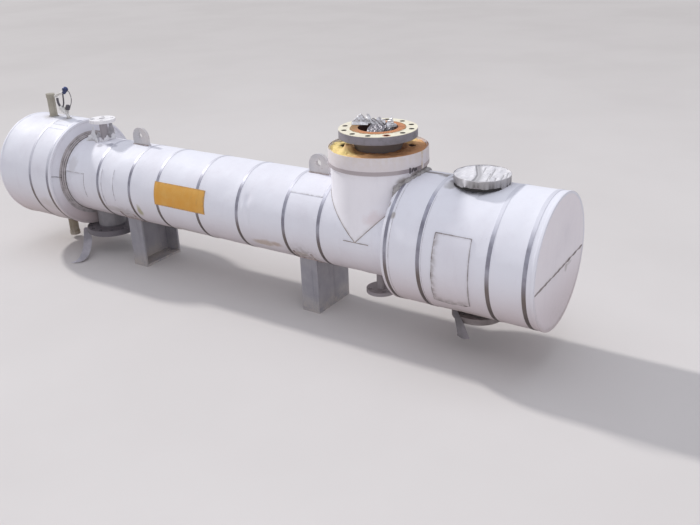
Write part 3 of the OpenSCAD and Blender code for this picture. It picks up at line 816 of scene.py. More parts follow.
@dataclass(frozen=True)
class Paint(Finish):
    """Brushed industrial paint, weathered.

    Attributes:
        coat: The paint.
        worn: Its chalky, faded patches.
        rust: What shows where it has chipped.
        chips: How much of it has chipped, from 0 to 1.
        dust: Height below which ground dust lies on it, in metres.
        rough: Its roughness.
        split: Height below which the lower colour is seen.
        lower: The colour below the split: painted shade on a neck or flange that lies in shade.
        ground: The colour of the ground dust.
    """

    coat: Colour = (0.33, 0.325, 0.35)
    worn: Colour = (0.42, 0.41, 0.43)
    rust: Colour = (0.19, 0.085, 0.04)
    chips: float = 0.25
    dust: float = 0.12
    rough: float = 0.5
    split: float = 0.0
    lower: Colour = (0.2, 0.2, 0.2)
    ground: Colour = (0.50, 0.45, 0.40)

    def paint(self, g: Graph) -> None:
        """Fade the coat in clouds and runs, chip it, dust its foot, and paint shade below the
        split.
        """
        _, _, z = g.axes()
        cloud, fine = g.noise(11, 5, 0.6), g.noise(85, 4, 0.6)
        runs = g.noise(34, 3, 0.6, (1, 1, 0.15))
        colour = g.blend(cloud.step(0.35, 0.68), self.coat, self.worn)
        colour = g.blend(runs.step(0.5, 0.75) * 0.35, colour, tuple(c * 0.55 for c in self.coat))
        # painted shade: below the split the coat turns to the lower colour
        below = (z + (cloud - 0.5) * 0.004).step(self.split + 0.002, self.split - 0.002)
        colour = g.blend(below * 0.85, colour, self.lower)
        chip = (cloud * 0.5 + fine * 0.5).step(0.66 - 0.10 * self.chips, 0.70 - 0.08 * self.chips)
        colour = g.blend(chip * min(1.0, 2.5 * self.chips), colour, self.rust)
        dusty = z.step(self.dust, 0.0) * (fine + cloud).step(0.7, 1.2)
        colour = g.blend(dusty * 0.75, colour, self.ground)
        normal = g.bump(fine - chip * 0.8, 0.0012, 0.5)
        g.surface(colour, self.rough + fine * 0.15 + chip * 0.2, 0.0, normal)


@dataclass(frozen=True)
class FlangePaint(Finish):
    """Cream-white flange with a rusted raised face and a dark rusted bore; its rim, hub, bolt
    holes and bore carry painted shade.

    Attributes:
        cream: The paint on the bolting face.
        rim: Painted shade round the rim: the cream paint drawn dark grey where the rim lies in
            shade.
        hub: Painted shade on the hub below: a dark grey.
        orange: The fresh rust on the raised face.
        brown: The old rust in the bore, painted near black as the shade inside it.
        face_r: Radius of the raised face.
        bore_r: Radius of the bore.
        holes: How many bolt holes there are; their walls carry painted shade.
        hole_circle: Radius on which they stand.
        hole_r: Radius of a hole.
        rust_hole: The hole whose edge has rusted.
        cream_dull: The paint's duller clouds.
        rim_dull: The rim's duller clouds, also painted shade.
        hub_dull: The hub's, also painted shade.
        hole_shade: Painted shade on the walls of the bolt holes and round their edges.
        orange_pale: The face's paler specks.
        orange_deep: Its deeper clouds.
        age_and_shade: Its olive-brown side, and the line round its edge.
        groove: The worn tops of its grooves.
        edge_rust: The rust at the hole and in specks.
        bore_rust: The lighter rust in the bore.
    """

    cream: Colour = (0.83, 0.79, 0.62)
    rim: Colour = (0.27, 0.25, 0.28)
    hub: Colour = (0.20, 0.175, 0.165)
    orange: Colour = (0.50, 0.16, 0.05)
    brown: Colour = (0.060, 0.026, 0.020)
    face_r: float = 0.135
    bore_r: float = 0.0975
    holes: int = 12
    hole_circle: float = 0.1651
    hole_r: float = 0.0127
    rust_hole: Point = (0.9667, -0.1167, 1.008)
    cream_dull: Colour = (0.74, 0.68, 0.56)
    rim_dull: Colour = (0.21, 0.195, 0.21)
    hub_dull: Colour = (0.19, 0.175, 0.175)
    hole_shade: Colour = (0.05, 0.04, 0.035)
    orange_pale: Colour = (0.60, 0.27, 0.11)
    orange_deep: Colour = (0.30, 0.12, 0.06)
    age_and_shade: Colour = (0.27, 0.17, 0.06)
    groove: Colour = (0.74, 0.50, 0.34)
    edge_rust: Colour = (0.50, 0.17, 0.08)
    bore_rust: Colour = (0.16, 0.06, 0.035)

    def paint(self, g: Graph) -> None:
        """Choose paint, orange rust or brown rust by the distance from the nozzle's axis, and
        paint shade on the rim, the hub, the bolt holes and the bore.
        """
        x, y, z = g.axes()
        across = x - PLAN.riser_x
        radius = (across * across + y * y) ** 0.5
        cloud, fine = g.noise(24, 5, 0.65), g.noise(160, 4, 0.6)
        ragged = radius + (cloud - 0.5) * 0.016
        coat = g.blend(cloud.step(0.35, 0.7), self.cream, self.cream_dull)
        # painted shade: the rim below the bolting face is drawn dark grey
        rim = z.step(1.0068, 1.0058)
        coat = g.blend(rim, coat, g.blend(cloud.step(0.4, 0.7), self.rim, self.rim_dull))
        # painted shade: the hub under the flange is drawn dark grey
        coat = g.blend(z.step(0.974, 0.964), coat, g.blend(
            fine.step(0.4, 0.7), self.hub, self.hub_dull))
        turn = g.math("ARCTAN2", y, across) * (self.holes / TAU)
        pitch = self.hole_circle * TAU / self.holes
        aside = (g.math("FRACT", turn) - 0.5) * pitch
        off = radius - self.hole_circle
        hole = (off * off + aside * aside) ** 0.5
        # painted shade in and round the bolt holes
        coat = g.blend(hole.step(self.hole_r + 0.0012, self.hole_r + 0.0004), coat,
                       self.hole_shade)
        rust = g.blend(fine.step(0.3, 0.7), self.orange, self.orange_pale)
        rust = g.blend(cloud.step(0.5, 0.72) * 0.7, rust, self.orange_deep)
        face = ragged.step(self.face_r + 0.001, self.face_r - 0.002) * (1 - rim)
        colour = g.blend(face, coat, rust)
        age_and_shade = (x + (cloud - 0.5) * 0.05).step(PLAN.riser_x - 0.03, PLAN.riser_x - 0.10)
        line = radius.step(self.face_r - 0.007, self.face_r - 0.002)
        colour = g.blend((age_and_shade * 0.75).most(line * 0.85) * face, colour, self.age_and_shade)
        grooves = g.math("SINE", radius * 3900.0)
        colour = g.blend(grooves.step(0.2, 1.0) * face * 0.12, colour, self.groove)
        spot = g.spot(self.rust_hole, (0.021, 0.021, 0.02)) + (fine - 0.5) * 0.8
        specks = fine.step(0.5, 0.75) * cloud.step(0.5, 0.62) * 0.4
        colour = g.blend(spot.step(1.1, 0.7).most(specks) * (1 - rim), colour,
                         self.edge_rust)
        # the bore: rust, painted near black as its shade
        bore = radius.step(self.bore_r + 0.0006, self.bore_r - 0.0004)
        inside = g.blend(cloud.step(0.4, 0.7), self.brown, self.bore_rust)
        colour = g.blend(bore, colour, inside)
        height = fine + grooves * 0.25 * radius.step(0.137, 0.135)
        g.surface(colour, 0.48 + cloud * 0.3, 0.0, g.bump(height, 0.0009, 0.7))


@dataclass(frozen=True)
class Foam(Finish):
    """Sprayed rigid foam, orange-yellow, with painted shade browning it near the nozzle, on the
    far side and in its hollows.

    Attributes:
        light: Most of it.
        deep: Its deeper clouds.
        age_and_shade: Painted shade: the brown of the foam in the flange's shadow, near the
            nozzle and on the far side.
        fresh: The lump, in a light foam colour that keeps it out of the painted shade round it.
        pale: Its palest clouds.
        turned: The foam on the side away from the sun.
        dark: Painted shade in the hollows.
    """

    light: Colour = (0.97, 0.76, 0.31)
    deep: Colour = (0.88, 0.50, 0.19)
    age_and_shade: Colour = (0.38, 0.16, 0.075)
    fresh: Colour = (0.98, 0.66, 0.36)
    pale: Colour = (1.0, 0.86, 0.44)
    turned: Colour = (0.80, 0.42, 0.20)
    dark: Colour = (0.045, 0.02, 0.01)

    def paint(self, g: Graph) -> None:
        """Mottle the foam, pit it with cells, and paint shade near the nozzle, on the far side
        and in what the mesh marks as hollow.
        """
        x, y, _ = g.axes()
        cloud, fine, pits = g.noise(17, 5, 0.65), g.noise(130, 4, 0.7), g.cells(260)
        colour = g.blend((cloud * 0.7 + fine * 0.3).step(0.52, 0.74), self.light, self.deep)
        colour = g.blend(cloud.step(0.55, 0.7) * 0.5, colour, self.pale)
        across = x - PLAN.riser_x
        radius = (across * across + y * y) ** 0.5
        # painted shade: the foam under the flange and on the side away from the sun is browned
        core = (radius + (cloud - 0.5) * 0.05).step(0.170, 0.130)
        side = across - y * 0.3 + (cloud - 0.5) * 0.08
        colour = g.blend(side.step(-0.02, 0.07) * 0.85, colour, self.turned)
        colour = g.blend((core * 0.8).most(side.step(0.04, 0.16) * 0.70), colour, self.age_and_shade)
        # the lump is lifted out of the painted shade
        colour = g.blend(g.mark("lump"), colour, self.fresh)
        # painted shade in the hollows
        colour = g.blend(g.mark("hollow"), colour, self.dark)
        normal = g.bump(fine - pits * 0.5, 0.003, 0.6)
        g.surface(colour, 0.85, 0.0, normal)


@dataclass(frozen=True)
class Foil(Finish):
    """Crumpled bright foil with soft scuffs, darkened where the mesh marks it: painted shade on
    the cap and in the bore, and darker towards the torn flaps' feet.
    """

    bright: Colour = (0.86, 0.86, 0.87)
    dull: Colour = (0.60, 0.59, 0.60)
    grime: Colour = (0.10, 0.09, 0.085)

    def paint(self, g: Graph) -> None:
        """Crease the foil finely and cloud its shine."""
        creases, fine = g.cells(19, "DISTANCE_TO_EDGE"), g.noise(70, 4, 0.65)
        cloud = g.noise(15, 3)
        colour = g.blend(cloud.step(0.42, 0.72), self.bright, self.dull)
        # the marked darkening: painted shade on the cap and in the bore, and darker towards the
        # torn flaps' feet
        colour = g.blend(g.mark("grime") * 0.85, colour, self.grime)
        normal = g.bump(creases.step(0.0, 0.10) * 0.6 + fine * 0.4, 0.0016, 0.5)
        g.surface(colour, 0.34 + cloud * 0.2, 0.55, normal)


@dataclass(frozen=True)
class LabelEnamel(Finish):
    """Orange-yellow enamel, faded, with wrinkles and grey scuffs."""

    fresh: Colour = (0.72, 0.34, 0.045)
    faded: Colour = (0.74, 0.40, 0.085)
    grime: Colour = (0.33, 0.20, 0.10)

    def paint(self, g: Graph) -> None:
        """Fade the enamel in clouds, grime its edges and wrinkle it."""
        cloud, fine, runs = g.noise(9, 4), g.noise(75, 4), g.noise(40, 3, 0.6, (1, 1, 0.2))
        colour = g.blend(cloud.step(0.35, 0.65), self.fresh, self.faded)
        dirt = (g.mark("grime") * fine.step(0.3, 0.6)).most(runs.step(0.60, 0.78) * 0.35)
        colour = g.blend(dirt * 0.7, colour, self.grime)
        g.surface(colour, 0.42 + fine * 0.2, 0.0, g.bump(g.noise(30, 3), 0.002, 0.4))


@dataclass(frozen=True)
class Plain(Finish):
    """A simple finish of one stuff: mottled colour, grain and gloss.

    Attributes:
        light: Its lighter colour.
        dark: Its darker colour.
        rough: Its roughness.
        metal: How metallic it is.
        grain: Scale of its grain per metre.
        depth: Depth of its grain in metres.
    """

    light: Colour = (0.5, 0.5, 0.5)
    dark: Colour = (0.3, 0.3, 0.3)
    rough: float = 0.5
    metal: float = 0.0
    grain: float = 90.0
    depth: float = 0.0006

    def paint(self, g: Graph) -> None:
        """Mottle the two colours and bump the grain."""
        cloud, fine = g.noise(self.grain / 6, 4), g.noise(self.grain, 4, 0.6)
        colour = g.blend(cloud.step(0.35, 0.68), self.light, self.dark)
        g.surface(colour, self.rough + fine * 0.12, self.metal, g.bump(fine, self.depth, 0.6))


# ---------------------------------------------------------------- making pieces


def put(name: str, data: bpy.types.ID) -> bpy.types.Object:
    """Make an object of some data and link it to the scene."""
    made = bpy.data.objects.new(name, data)
    bpy.context.collection.objects.link(made)
    return made


def mesh_of(name: str, solid: Solid, finish: Finish) -> bpy.types.Mesh:
    """Turn a form into a mesh with its marks and its finish.

    Points that coincide are merged, and the faces are turned outwards.

    Args:
        name: The mesh's name.
        solid: The form.
        finish: The finish.

    Returns:
        The mesh, not smoothed.
    """
    mesh = bpy.data.meshes.new(name)
    mesh.from_pydata(solid.points.tolist(), [], solid.faces)
    for key, values in solid.marks.items():
        mark = mesh.attributes.new(key, "FLOAT", "POINT")
        mark.data.foreach_set("value", np.clip(values, 0, 1).astype(np.float32))
    work = bmesh.new()
    work.from_mesh(mesh)
    bmesh.ops.remove_doubles(work, verts=work.verts, dist=WELD_DISTANCE)
    bmesh.ops.dissolve_degenerate(work, edges=work.edges, dist=WELD_DISTANCE)
    bmesh.ops.recalc_face_normals(work, faces=work.faces)
    work.to_mesh(mesh)
    work.free()
    mesh.materials.append(finish.material())
    return mesh


def piece(
    name: str, solid: Solid, finish: Finish, replaces: Sequence[str] = (),
    crease: float = 38.0, wall: float = 0.0,
) -> None:
    """Make one named piece of the exchanger and fix it to the model.

    Args:
        name: Its name.
        solid: Its form.
        finish: Its finish.
        replaces: The model's nodes that it stands for.
        crease: Edges sharper than this many degrees stay sharp.
        wall: Thickness given to an open sheet, inwards, in metres.
    """
    mesh = mesh_of(name, solid, finish)
    mesh.shade_smooth()
    mesh.set_sharp_from_angle(angle=math.radians(crease))
    made = put(name, mesh)
    if wall:
        plate = made.modifiers.new("wall", "SOLIDIFY")
        plate.thickness, plate.offset = wall, -1.0
    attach(made, "root")
    if replaces:
        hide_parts(*replaces)
    LOG.info("%s: %d faces, %s, stands for %s", name, len(mesh.polygons), finish.name,
             ", ".join(replaces) or "nothing")


def dress(finish: Finish, *nodes: str) -> None:
    """Give nodes of the model, whose shape is kept, a finish."""
    for node in nodes:
        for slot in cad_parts[node].material_slots:
            slot.material = finish.material()
        LOG.info("%s: kept, %s", node, finish.name)


@dataclass(frozen=True)
class Dent:
    """A dent: its middle, its half sizes along x, y and z, and its depth."""

    centre: Point
    size: Point
    depth: float

    def __call__(self, points: Array) -> Array:
        """How far each point goes in: the depth times a bell in all three directions."""
        share = (points - np.array(self.centre)) / np.array(self.size)
        return -self.depth * np.exp(-(share**2).sum(-1))


@dataclass(frozen=True)
class Lap:
    """The edge of a sheet that laps over its neighbour on a drum.

    Attributes:
        x: Its ends along the shell.
        angle: Its ends round the shell in degrees.
        edge: Which side is the raised edge.
    """

    class Edge(Enum):
        """The side on which the sheet ends."""

        LOW_ANGLE = 0
        HIGH_ANGLE = 1
        LOW_X = 2
        HIGH_X = 3

    x: tuple[float, float]
    angle: tuple[float, float]
    edge: Edge = Edge.HIGH_ANGLE
    lift: float = 0.0016
    foot: float = 0.00015
    depth: float = 0.004
    steps: int = 24

    def solid(self, radius: float) -> Solid:
        """The lap as a wedge of sheet on a drum of a radius.

        Its height over the drum falls evenly from the lift at the raised edge to the foot at
        the far side.
        """
        x = np.linspace(*self.x, self.steps)
        turn = np.radians(np.linspace(*self.angle, self.steps))[:, None]
        grows, falls = np.linspace(0, 1, self.steps), np.linspace(1, 0, self.steps)
        raised = {
            Lap.Edge.LOW_ANGLE: falls[:, None], Lap.Edge.HIGH_ANGLE: grows[:, None],
            Lap.Edge.LOW_X: falls[None], Lap.Edge.HIGH_X: grows[None],
        }[self.edge]
        return Form.slab(
            Form.round_shell(x, turn, radius, self.foot + self.lift * raised),
            Form.round_shell(x, turn, radius, -self.depth),
            marks={"grime": near(raised, 1.0, 0.12) * 0.8},
        )


@dataclass
class SubAssembly:
    """Pieces that are made together."""

    def build(self) -> None:
        """Make and dress the pieces."""
        raise NotImplementedError


# ---------------------------------------------------------------- shell


@dataclass
class ShellJacket(SubAssembly):
    """The shell's sheet: a drum with soft dents, cut in a V where the riser stands.

    Attributes:
        bands: Places of the bands, where the sheet is drawn tight.
        pull: How deep the soft hollows between the bands are.
        bend_from: From where on the sheet's points are drawn towards the V.
        laps: The sheet edges that show.
        dents: Single dents.
        stains: Stains on the sheet.
        rings: Sections (radius, place) of the mastic rings at the rear box.
        lines: Place and height of each dark line in that mastic.
        line_r: Radius on which the dark lines stand.
        line_w: Width of a dark line.
        face_seam: Points (y, z) of the dark line on the rear box's face.
    """

    bands: tuple[float, ...] = (-0.9775, -0.7075, -0.4845, -0.1835, 0.1075, 0.4145, 0.6305)
    pull: float = 0.0016
    bend_from: float = 0.55
    laps: tuple[Lap, ...] = (
        Lap((0.424, 0.621), (122.0, 133.7)),
        Lap((-1.264, -1.102), (152.0, 163.0)),
        Lap((-1.120, -1.100), (161.0, 198.0), Lap.Edge.HIGH_X),
        Lap((-0.860, -0.843), (148.0, 194.0), Lap.Edge.HIGH_X),
        Lap((-0.960, -0.944), (150.0, 205.0), Lap.Edge.HIGH_X),
        Lap((-0.698, -0.494), (44.0, 56.0), Lap.Edge.LOW_ANGLE),
        Lap((-0.174, 0.098), (30.0, 42.0), Lap.Edge.LOW_ANGLE),
        Lap((0.117, 0.405), (48.0, 60.0), Lap.Edge.LOW_ANGLE),
    )
    dents: tuple[Dent, ...] = (
        Dent((0.180, -0.232, 0.500), (0.013, 0.05, 0.055), 0.0032),
        Dent((0.172, -0.205, 0.606), (0.020, 0.04, 0.026), 0.0050),
        Dent((0.148, -0.222, 0.556), (0.012, 0.04, 0.034), -0.0030),
        Dent((0.235, -0.225, 0.545), (0.040, 0.05, 0.035), 0.0020),
        Dent((-0.610, -0.200, 0.600), (0.050, 0.06, 0.050), 0.0022),
        Dent((0.020, -0.190, 0.635), (0.060, 0.06, 0.040), 0.0020),
        Dent((-0.330, -0.150, 0.680), (0.055, 0.06, 0.050), 0.0018),
        Dent((0.300, 0.190, 0.600), (0.070, 0.06, 0.050), 0.0030),
        Dent((-1.060, -0.215, 0.560), (0.030, 0.05, 0.040), 0.0020),
    )
    stains: tuple[Stain, ...] = (
        Stain((-0.660, -0.212, 0.405), (0.026, 0.06, 0.055), (0.36, 0.33, 0.16), 0.75),
        Stain((0.245, -0.198, 0.372), (0.105, 0.06, 0.030), (0.44, 0.33, 0.23), 0.62),
        Stain((0.330, -0.195, 0.380), (0.050, 0.06, 0.022), (0.38, 0.25, 0.15), 0.55),
        Stain((-0.995, -0.068, 0.723), (0.060, 0.024, 0.040), (0.34, 0.34, 0.40), 0.8),
        Stain((-1.078, -0.088, 0.716), (0.032, 0.020, 0.040), (0.36, 0.35, 0.40), 0.75),
        Stain((-1.21, -0.20, 0.60), (0.05, 0.06, 0.11), (0.50, 0.47, 0.46), 0.35),
        Stain((-0.90, -0.20, 0.37), (0.14, 0.06, 0.03), (0.38, 0.34, 0.30), 0.35),
        Stain((0.47, -0.17, 0.345), (0.10, 0.05, 0.03), (0.40, 0.33, 0.26), 0.45),
        Stain((-0.34, -0.14, 0.315), (0.16, 0.05, 0.022), (0.42, 0.38, 0.33), 0.40),
    )
    rings: tuple[tuple[tuple[float, float], ...], ...] = (
        ((0.245, 0.0), (0.260, 0.0), (0.263, -0.001), (0.2625, -0.003), (0.245, -0.003)),
        ((0.234, 0.0), (0.2485, 0.001), (0.250, 0.006), (0.247, 0.0105), (0.234, 0.012)),
        ((0.234, 0.0115), (0.2425, 0.012), (0.244, 0.017), (0.2405, 0.021), (0.234, 0.0225)),
    )
    lines: tuple[tuple[float, float], ...] = (
        (0.0215, 0.0030), (0.0102, 0.0085), (-0.0022, 0.0140))
    line_r: float = 0.2352
    line_w: float = 0.003
    face_seam: tuple[tuple[float, float], ...] = (
        (-0.240, 0.524), (-0.262, 0.533), (-0.285, 0.542), (-0.318, 0.551))

    def relief(self, points: Array) -> Array:
        """Height of the sheet over its drum: hollows between the bands, and the dents.

        The hollows are a slow ripple that only goes in. They fade to nothing at the bands, at
        the ends and at the V.
        """
        x, rise = points[..., 0], points[..., 2] - PLAN.axis
        calm = np.ones_like(x)
        for place in self.bands + (PLAN.rear_face, PLAN.front_face):
            calm *= 1 - near(x, place, 0.028)
        mitre = np.abs(x - PLAN.riser_x) - np.maximum(rise, 0)
        calm *= ramp(mitre, 0.0, 0.05)
        slow = Ripple(4, 0.34, 0.55)(points) + Ripple(9, 0.10, 0.16)(points)
        hollow = -self.pull * np.clip(0.55 + slow, 0.0, 1.8)
        return calm * (hollow + sum(dent(points) for dent in self.dents))

    def grime(self, points: Array) -> Array:
        """Dirt on the sheet: below, at the rear box, at the saddles and under the riser."""
        x, y, z = np.moveaxis(points, -1, 0)
        low = ramp(z, 0.36, 0.27) * 0.30
        rear = near(x, PLAN.rear_face, 0.030) * (0.7 + 0.3 * ramp(z, 0.6, 0.4))
        saddles = ramp(z, 0.44, 0.33) * (
            near(x, PLAN.rear_saddle, 0.075) + near(x, PLAN.front_saddle, 0.075)
        )
        front = near(x, PLAN.front_face, 0.014) * 0.6
        return most(low, rear, saddles * 0.75, front)

    def skin(self) -> Solid:
        """The sheet as one open surface.

        A point's angle goes all round. Along the shell its place x runs to the V, which lies
        where the distance from the riser's axis equals the height over the shell's axis.
        Below the shell's axis the sheet runs on under the riser to the front box.
        """
        fine = [(0.14, 0.22, 0.005)] + [
            (place + side * 0.010, place + side * 0.010 + 0.001, 0.002)
            for place in self.bands for side in (-1, 1)
        ]
        x, around = stations(PLAN.rear_face, PLAN.riser_x, 0.013, fine), all_round()
        rise = np.maximum(PLAN.shell_r * np.sin(around), 0)
        run = PLAN.riser_x - self.bend_from
        bent = self.bend_from + (x - self.bend_from) * (run - rise) / run
        left = np.where(x < self.bend_from, x, bent)

        top = math.asin(PLAN.reach / PLAN.shell_r)
        below = np.concatenate([
            np.linspace(math.pi - top, math.pi, 22)[:-1], np.radians(np.arange(180, 360.1, 2.5)),
            np.linspace(TAU, TAU + top, 22)[1:],
        ])[:, None]
        rise = np.clip(PLAN.shell_r * np.sin(below), 0, PLAN.reach)
        right = PLAN.riser_x + rise + np.linspace(0, 1, 15) * (PLAN.reach - rise)

        parts = []
        for x, turn, wrap in ((left, around, True), (right, below, False)):
            flat = Form.round_shell(x, turn, PLAN.shell_r)
            grid = Form.round_shell(x, turn, PLAN.shell_r, self.relief(flat))
            parts.append(Solid(
                grid.reshape(-1, 3), Form.cells(*x.shape, wrap, False).tolist(),
                {"grime": self.grime(flat).ravel()},
            ))
        return together(parts)

    def build(self) -> None:
        """Make the sheet, its lap edges and the mastic at the rear box."""
        white = WhiteSheet("shell_white", stains=self.stains)
        piece("shell_jacket_sheet", self.skin(), white,
              ("shell_jacket", "shell_foam", "tee_foam"), wall=PLAN.sheet)
        laps = together(lap.solid(PLAN.shell_r) for lap in self.laps)
        piece("shell_jacket_laps", laps, white)

        centre = (PLAN.rear_face, 0, PLAN.axis)
        lumps, waver = Ripple(31, 0.120, 0.0007), Ripple(33, 0.12, 0.0006)
        rings = together(Form.turned(ring, centre, Axis.X, 240, lumps) for ring in self.rings)
        piece("rear_box_mastic", rings,
              Sealant("mastic_ring", (0.50, 0.46, 0.47), (0.35, 0.32, 0.32)),
              ("rear_collar",), crease=60)
        lines = together(
            Form.turned(Form.bar(self.line_r, self.line_r + height, place, place + self.line_w),
                        centre, Axis.X, 200, waver)
            for place, height in self.lines
        )
        seam = curve([(PLAN.rear_face, y, z) for y, z in self.face_seam], 30)
        piece("rear_box_mastic_lines", lines + Form.carried(seam, Form.circle(0.0015, 8)),
              Sealant("mastic_line", (0.15, 0.135, 0.135), (0.08, 0.07, 0.065)),
              crease=60)


@dataclass
class Bands(SubAssembly):
    """Steel bands drawn round a drum, each closed by a folded seal.

    Attributes:
        name: Name of the piece.
        node: The node that it stands for.
        places: Places along the shell.
        radius: Radius of the drum.
        seals: Angle of each seal in degrees.
        thickness: Thickness of the strip.
        sway: How far a band leans off square.
        seal: A seal's blocks: how far round each is and its size.
    """

    name: str = "shell_straps"
    node: str = "shell_bands"
    places: tuple[float, ...] = ShellJacket.bands
    radius: float = PLAN.shell_r
    seals: tuple[float, ...] = (48.0, 41.0, 30.0, 52.0, 42.0, 30.0, 48.0)
    thickness: float = 0.0010
    sway: float = 0.0015
    seal: tuple[tuple[float, Point], ...] = (
        (0.0, (0.026, 0.020, 0.0030)), (0.019, (0.019, 0.014, 0.0016)),
        (-0.019, (0.019, 0.014, 0.0016)))

    def strap(self, place: float, seal_at: float) -> Solid:
        """One band with its seal and folded tails.

        The strip's section goes round the drum's axis, and its place along the shell sways
        by a sine of the angle.

        Args:
            place: Its place along the shell.
            seal_at: The seal's angle in degrees.

        Returns:
            The band.
        """
        half, low, high = PLAN.band_w / 2, self.radius + 0.0002, self.radius + self.thickness
        edge = 0.0006
        parts = [Form.turned(
            [(low, -half), (high - edge / 2, -half), (high, edge - half), (high, half - edge),
             (high - edge / 2, half), (low, half)],
            (place, 0, PLAN.axis), Axis.X, 180,
        )]
        for along, size in self.seal:
            turn = math.radians(seal_at) + along / self.radius
            centre = on_round(place, math.degrees(turn), high + size[2] * 0.35)
            parts.append(Form.block(size, centre, Matrix.Rotation(turn - math.pi / 2, 3, "X")))
        strap = together(parts)
        angle = np.arctan2(strap.points[:, 2] - PLAN.axis, strap.points[:, 1])
        strap.points[:, 0] += self.sway * np.sin(angle + place * 9)
        return strap

    def build(self) -> None:
        """Make all the bands as one piece."""
        straps = together(self.strap(*pair) for pair in zip(self.places, self.seals))
        piece(self.name, straps, Strap("band_strip"), (self.node,), crease=25)


# ---------------------------------------------------------------- riser


@dataclass
class Riser(SubAssembly):
    """The tee's standing branch: sheet, collar, V seams and the foam that shows on top.

    Attributes:
        collar_r: Outer radius of the collar.
        collar_foot: Lower edge of the collar.
        rim: Upper edge of the collar.
        hub_r: Radius of the nozzle at the foam.
        lap_at: Azimuth of the collar's lap in degrees.
        buckle_at: Azimuth of the strap's buckle in radians.
        buckle: The buckle's blocks: how far round, size and lean.
        dents: Dents in the sheet.
        stains: Stains on the sheet.
        foam_z: Height of the foam.
        slot: Azimuth in degrees and radius of the slot at the foam's rim, and its half sizes.
        hollows: The foam's hollows: radius, azimuth in degrees and half width.
        lump: The lump of fresh foam, in the same way.
    """

    collar_r: float = 0.2435
    collar_foot: float = 0.839
    rim: float = 0.923
    hub_r: float = 0.112
    lap_at: float = -3.4
    buckle_at: float = math.radians(-18.0)
    buckle: tuple[tuple[float, Point, float], ...] = (
        (-0.019, (0.0034, 0.0055, 0.027), 0.0), (-0.004, (0.0030, 0.0045, 0.024), -0.5),
        (0.007, (0.0030, 0.0045, 0.022), 0.5), (0.018, (0.0022, 0.0120, 0.012), 0.0))
    dents: tuple[Dent, ...] = (
        Dent((0.72, -0.19, 0.72), (0.05, 0.06, 0.06), 0.0022),
        Dent((0.95, -0.21, 0.70), (0.05, 0.06, 0.05), 0.0020),
        Dent((0.70, 0.18, 0.74), (0.06, 0.06, 0.07), 0.0025),
    )
    stains: tuple[Stain, ...] = (
        Stain((0.945, -0.20, 0.62), (0.07, 0.06, 0.06), (0.66, 0.53, 0.53), 0.40),
        Stain((1.05, -0.11, 0.80), (0.05, 0.06, 0.025), (0.22, 0.19, 0.17), 0.75),
        Stain((1.08, 0.0, 0.825), (0.03, 0.12, 0.018), (0.18, 0.15, 0.13), 0.75),
    )
    foam_z: float = 0.914
    slot: tuple[float, float, float, float] = (179, 0.2370, 0.10, 0.0065)
    hollows: tuple[Point, ...] = (
        (0.170, -166, 0.0210), (0.150, -160, 0.0220), (0.168, 44, 0.014), (0.205, 118, 0.006),
        (0.182, -112, 0.004), (0.214, -38, 0.004))
    lump: Point = (0.150, -131, 0.024)

    def around(self, turn: Array | float, radius: Array | float, z: Array | float) -> Array:
        """Points round the riser's axis: azimuth 0 is +X."""
        return upright(PLAN.riser_x, turn, radius, z)

    def foot(self, turn: Array) -> Array:
        """Lower edge of the riser's sheet at an azimuth.

        It stands on the shell along the V, where the height over the axis equals the distance
        along the shell. Past the front box's face it stands on the box.
        """
        along, across = PLAN.shell_r * np.cos(turn), PLAN.shell_r * np.sin(turn)
        on_box = np.sqrt(PLAN.front_r**2 - across**2) - 0.001
        return PLAN.axis + np.where(along > PLAN.reach, on_box, np.abs(along))

    def sheet(self) -> Solid:
        """The riser's sheet: columns of points from its foot up to the rim, all round."""
        corner = math.acos(PLAN.reach / PLAN.shell_r)
        turn = np.unique(np.concatenate([
            np.linspace(-math.pi, math.pi, 181)[:-1],
            [s * (corner + d) for s in (-1, 1) for d in (-1e-4, 1e-4)],
        ]))[:, None]
        foot = self.foot(turn)
        z = foot + np.linspace(0, 1, 34) * (PLAN.riser_top - foot)
        flat = self.around(turn, PLAN.shell_r, z)
        calm = ramp(z, foot, foot + 0.06) * ramp(z, 0.86, 0.80)
        lift = calm * (
            -0.0015 * np.clip(0.5 + Ripple(14, 0.26, 0.5)(flat), 0, 1.7)
            + sum(dent(flat) for dent in self.dents)
        )
        side = ramp(np.cos(turn), 0.6, 0.85) * ramp(z, foot + 0.05, foot)
        return Form.sheet(
            self.around(turn, PLAN.shell_r + lift, z), PLAN.sheet, wrap_rows=True,
            marks={"grime": most(side * 0.8, near(z, foot, 0.012) * 0.5)},
        )

    def collar(self) -> Solid:
        """The collar: a ring whose section is carried round, with its lap's edge standing off."""
        r, foot, rim = self.collar_r, self.collar_foot, self.rim
        body = Form.turned(
            [(0.2355, foot), (r - 0.0006, foot), (r, foot + 0.002), (r, rim - 0.002),
             (r - 0.0007, rim), (r - 0.0022, rim), (r - 0.0028, rim - 0.003),
             (r - 0.003, 0.905), (0.2355, 0.903)],
            (PLAN.riser_x, 0, 0), Axis.Z, 180, Ripple(40, 0.11, 0.0005),
        )
        turn = np.radians(np.linspace(self.lap_at, self.lap_at + 12, 14))[:, None]
        z = np.linspace(foot + 0.0005, rim - 0.0005, 6)
        lift = np.linspace(0.0018, 0.0002, 14)[:, None]
        whole = body + Form.slab(
            self.around(turn, r + lift, z), self.around(turn, r - 0.002, z),
            marks={"grime": near(lift, 0.0018, 0.0003)},
        )
        top = ramp(whole.points[:, 2], rim - 0.006, rim)
        whole.marks["grime"] = most(whole.marks["grime"], top * 0.35)
        return whole

    def foam_bell(self, points: Array, radius: float, azimuth: float, width: float) -> Array:
        """A bell about a place on the foam: its radius, azimuth in degrees and half width."""
        centre = self.around(math.radians(azimuth), radius, self.foam_z)
        return near(np.linalg.norm(points - centre, axis=-1), 0, width)

